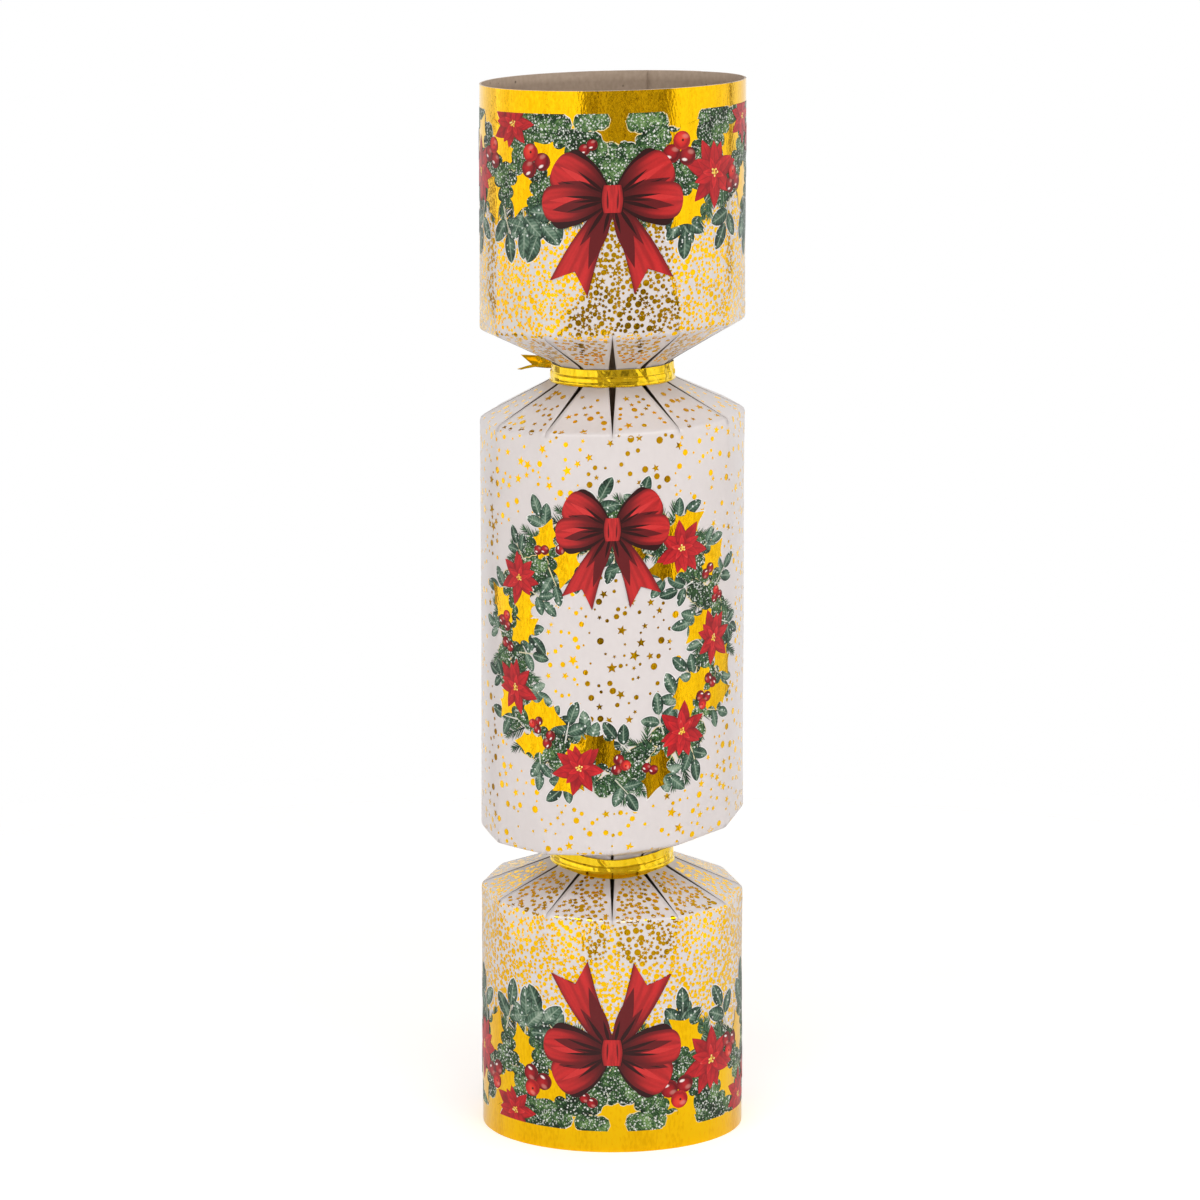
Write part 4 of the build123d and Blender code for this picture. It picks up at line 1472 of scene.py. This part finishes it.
soft_light("left_softbox", 2.5, (2.1, 0.5), round_the_front(-73, 1.0, 0.02), (0.0, 0.0, 0.02))
soft_light("right_softbox", 3.8, (1.3, 1.4), round_the_front(85, 1.0, 0.3), (0.0, 0.0, 0.3))
soft_light("top_softbox", 9.3, (1.6, 0.5), (0.0, -0.77, 1.08), MIDDLE)
low_fill = soft_light("low_fill", 0.85, (0.6, 0.3), (0.0, -0.6, 0.02), (0.0, 0.0, 0.16))
low_fill.visible_glossy = False


def pale_floor():
    finish, tree, shader = new_finish("pale_paper_floor", Roughness=0.9, Specular_IOR_Level=0.1)
    place = object_place(tree)
    reach = wire(tree, "ShaderNodeVectorMath", {0: place}, operation="LENGTH").outputs["Value"]
    paper = ramp(tree, noise(tree, place, 30.0), ((0.3, (0.90, 0.90, 0.90)), (0.7, (0.92, 0.92, 0.92))))
    tree.links.new(paper, shader["Base Color"])
    tree.links.new(paper, shader["Emission Color"])
    ray = wire(tree, "ShaderNodeLightPath").outputs
    seen = maths(
        tree, "MAXIMUM", ray["Is Camera Ray"],
        maths(tree, "MULTIPLY", ray["Is Glossy Ray"], FLOOR_GLOSS_SHARE),
    )
    tree.links.new(maths(tree, "MULTIPLY", seen, FLOOR_WHITENING), shader["Emission Strength"])
    tree.links.new(maths(tree, "SUBTRACT", 1.0, between(tree, reach, *FLOOR_FADE)), shader["Alpha"])
    bm = bmesh.new()
    bmesh.ops.create_circle(bm, cap_ends=True, segments=96, radius=FLOOR_R)
    mesh = bpy.data.meshes.new("floor")
    bm.to_mesh(mesh)
    bm.free()
    mesh.materials.append(finish)
    floor = bpy.data.objects.new("floor", mesh)
    bpy.context.collection.objects.link(floor)


def studio_world():
    world = bpy.data.worlds.new("white_studio")
    bpy.context.scene.world = world
    world.use_nodes = True
    tree = world.node_tree
    place = wire(tree, "ShaderNodeTexCoord").outputs["Generated"]
    heading = wire(tree, "ShaderNodeSeparateXYZ", {"Vector": place}).outputs
    wings = (maths(tree, "MULTIPLY", heading["X"], slope) for slope in BACKDROP_WINGS)
    behind = maths(tree, "ADD", heading["Y"], maths(tree, "MAXIMUM", *wings))
    backdrop = between(tree, behind, 0.66, 0.74)
    round_front = maths(tree, "ARCTAN2", heading["X"], maths(tree, "MULTIPLY", heading["Y"], -1.0))
    for flag in FLAGS:
        past_start = between(tree, round_front, math.radians(flag.start - 1), math.radians(flag.start + 1))
        past_end = between(tree, round_front, math.radians(flag.end - 1), math.radians(flag.end + 1))
        below = maths(
            tree, "SUBTRACT", 1.0, between(tree, heading["Z"], flag.top - 0.004, flag.top + 0.004)
        )
        black = maths(tree, "MULTIPLY", maths(tree, "SUBTRACT", past_start, past_end), below)
        backdrop = maths(tree, "MULTIPLY", backdrop, maths(tree, "SUBTRACT", 1.0, black))
    seen = wire(tree, "ShaderNodeLightPath").outputs["Is Camera Ray"]
    clutter = between(tree, noise(tree, place, 11.0, 3.0), 0.36, 0.64)
    dim = blend(tree, clutter, DIM_ROOM, PALE_ROOM)
    for low, high in PALE_SHELVES:
        above_low = between(tree, heading["Z"], low, low + SHELF_EDGE)
        shelf = maths(tree, "SUBTRACT", above_low, between(tree, heading["Z"], high - SHELF_EDGE, high))
        dim = blend(tree, maths(tree, "MULTIPLY", shelf, SHELF_SHARE), dim, SHELF_COLOUR)
    colour = blend(tree, maths(tree, "MAXIMUM", seen, backdrop), dim, (1.0, 1.0, 1.0))
    tree.links.new(colour, tree.nodes["Background"].inputs["Color"])


def photo_camera():
    lens = bpy.data.cameras.new("photo_camera")
    lens.sensor_width = 36.0
    lens.lens = 167.0
    camera = bpy.data.objects.new("photo_camera", lens)
    camera.location = (0.0, -1.082, 0.3021)
    aim = Vector((-0.00243, 0.0, 0.1055))
    camera.rotation_euler = (aim - camera.location).to_track_quat("-Z", "Y").to_euler()
    bpy.context.collection.objects.link(camera)
    bpy.context.scene.camera = camera


pale_floor()
studio_world()
photo_camera()
bpy.context.scene.view_settings.view_transform = "Standard"
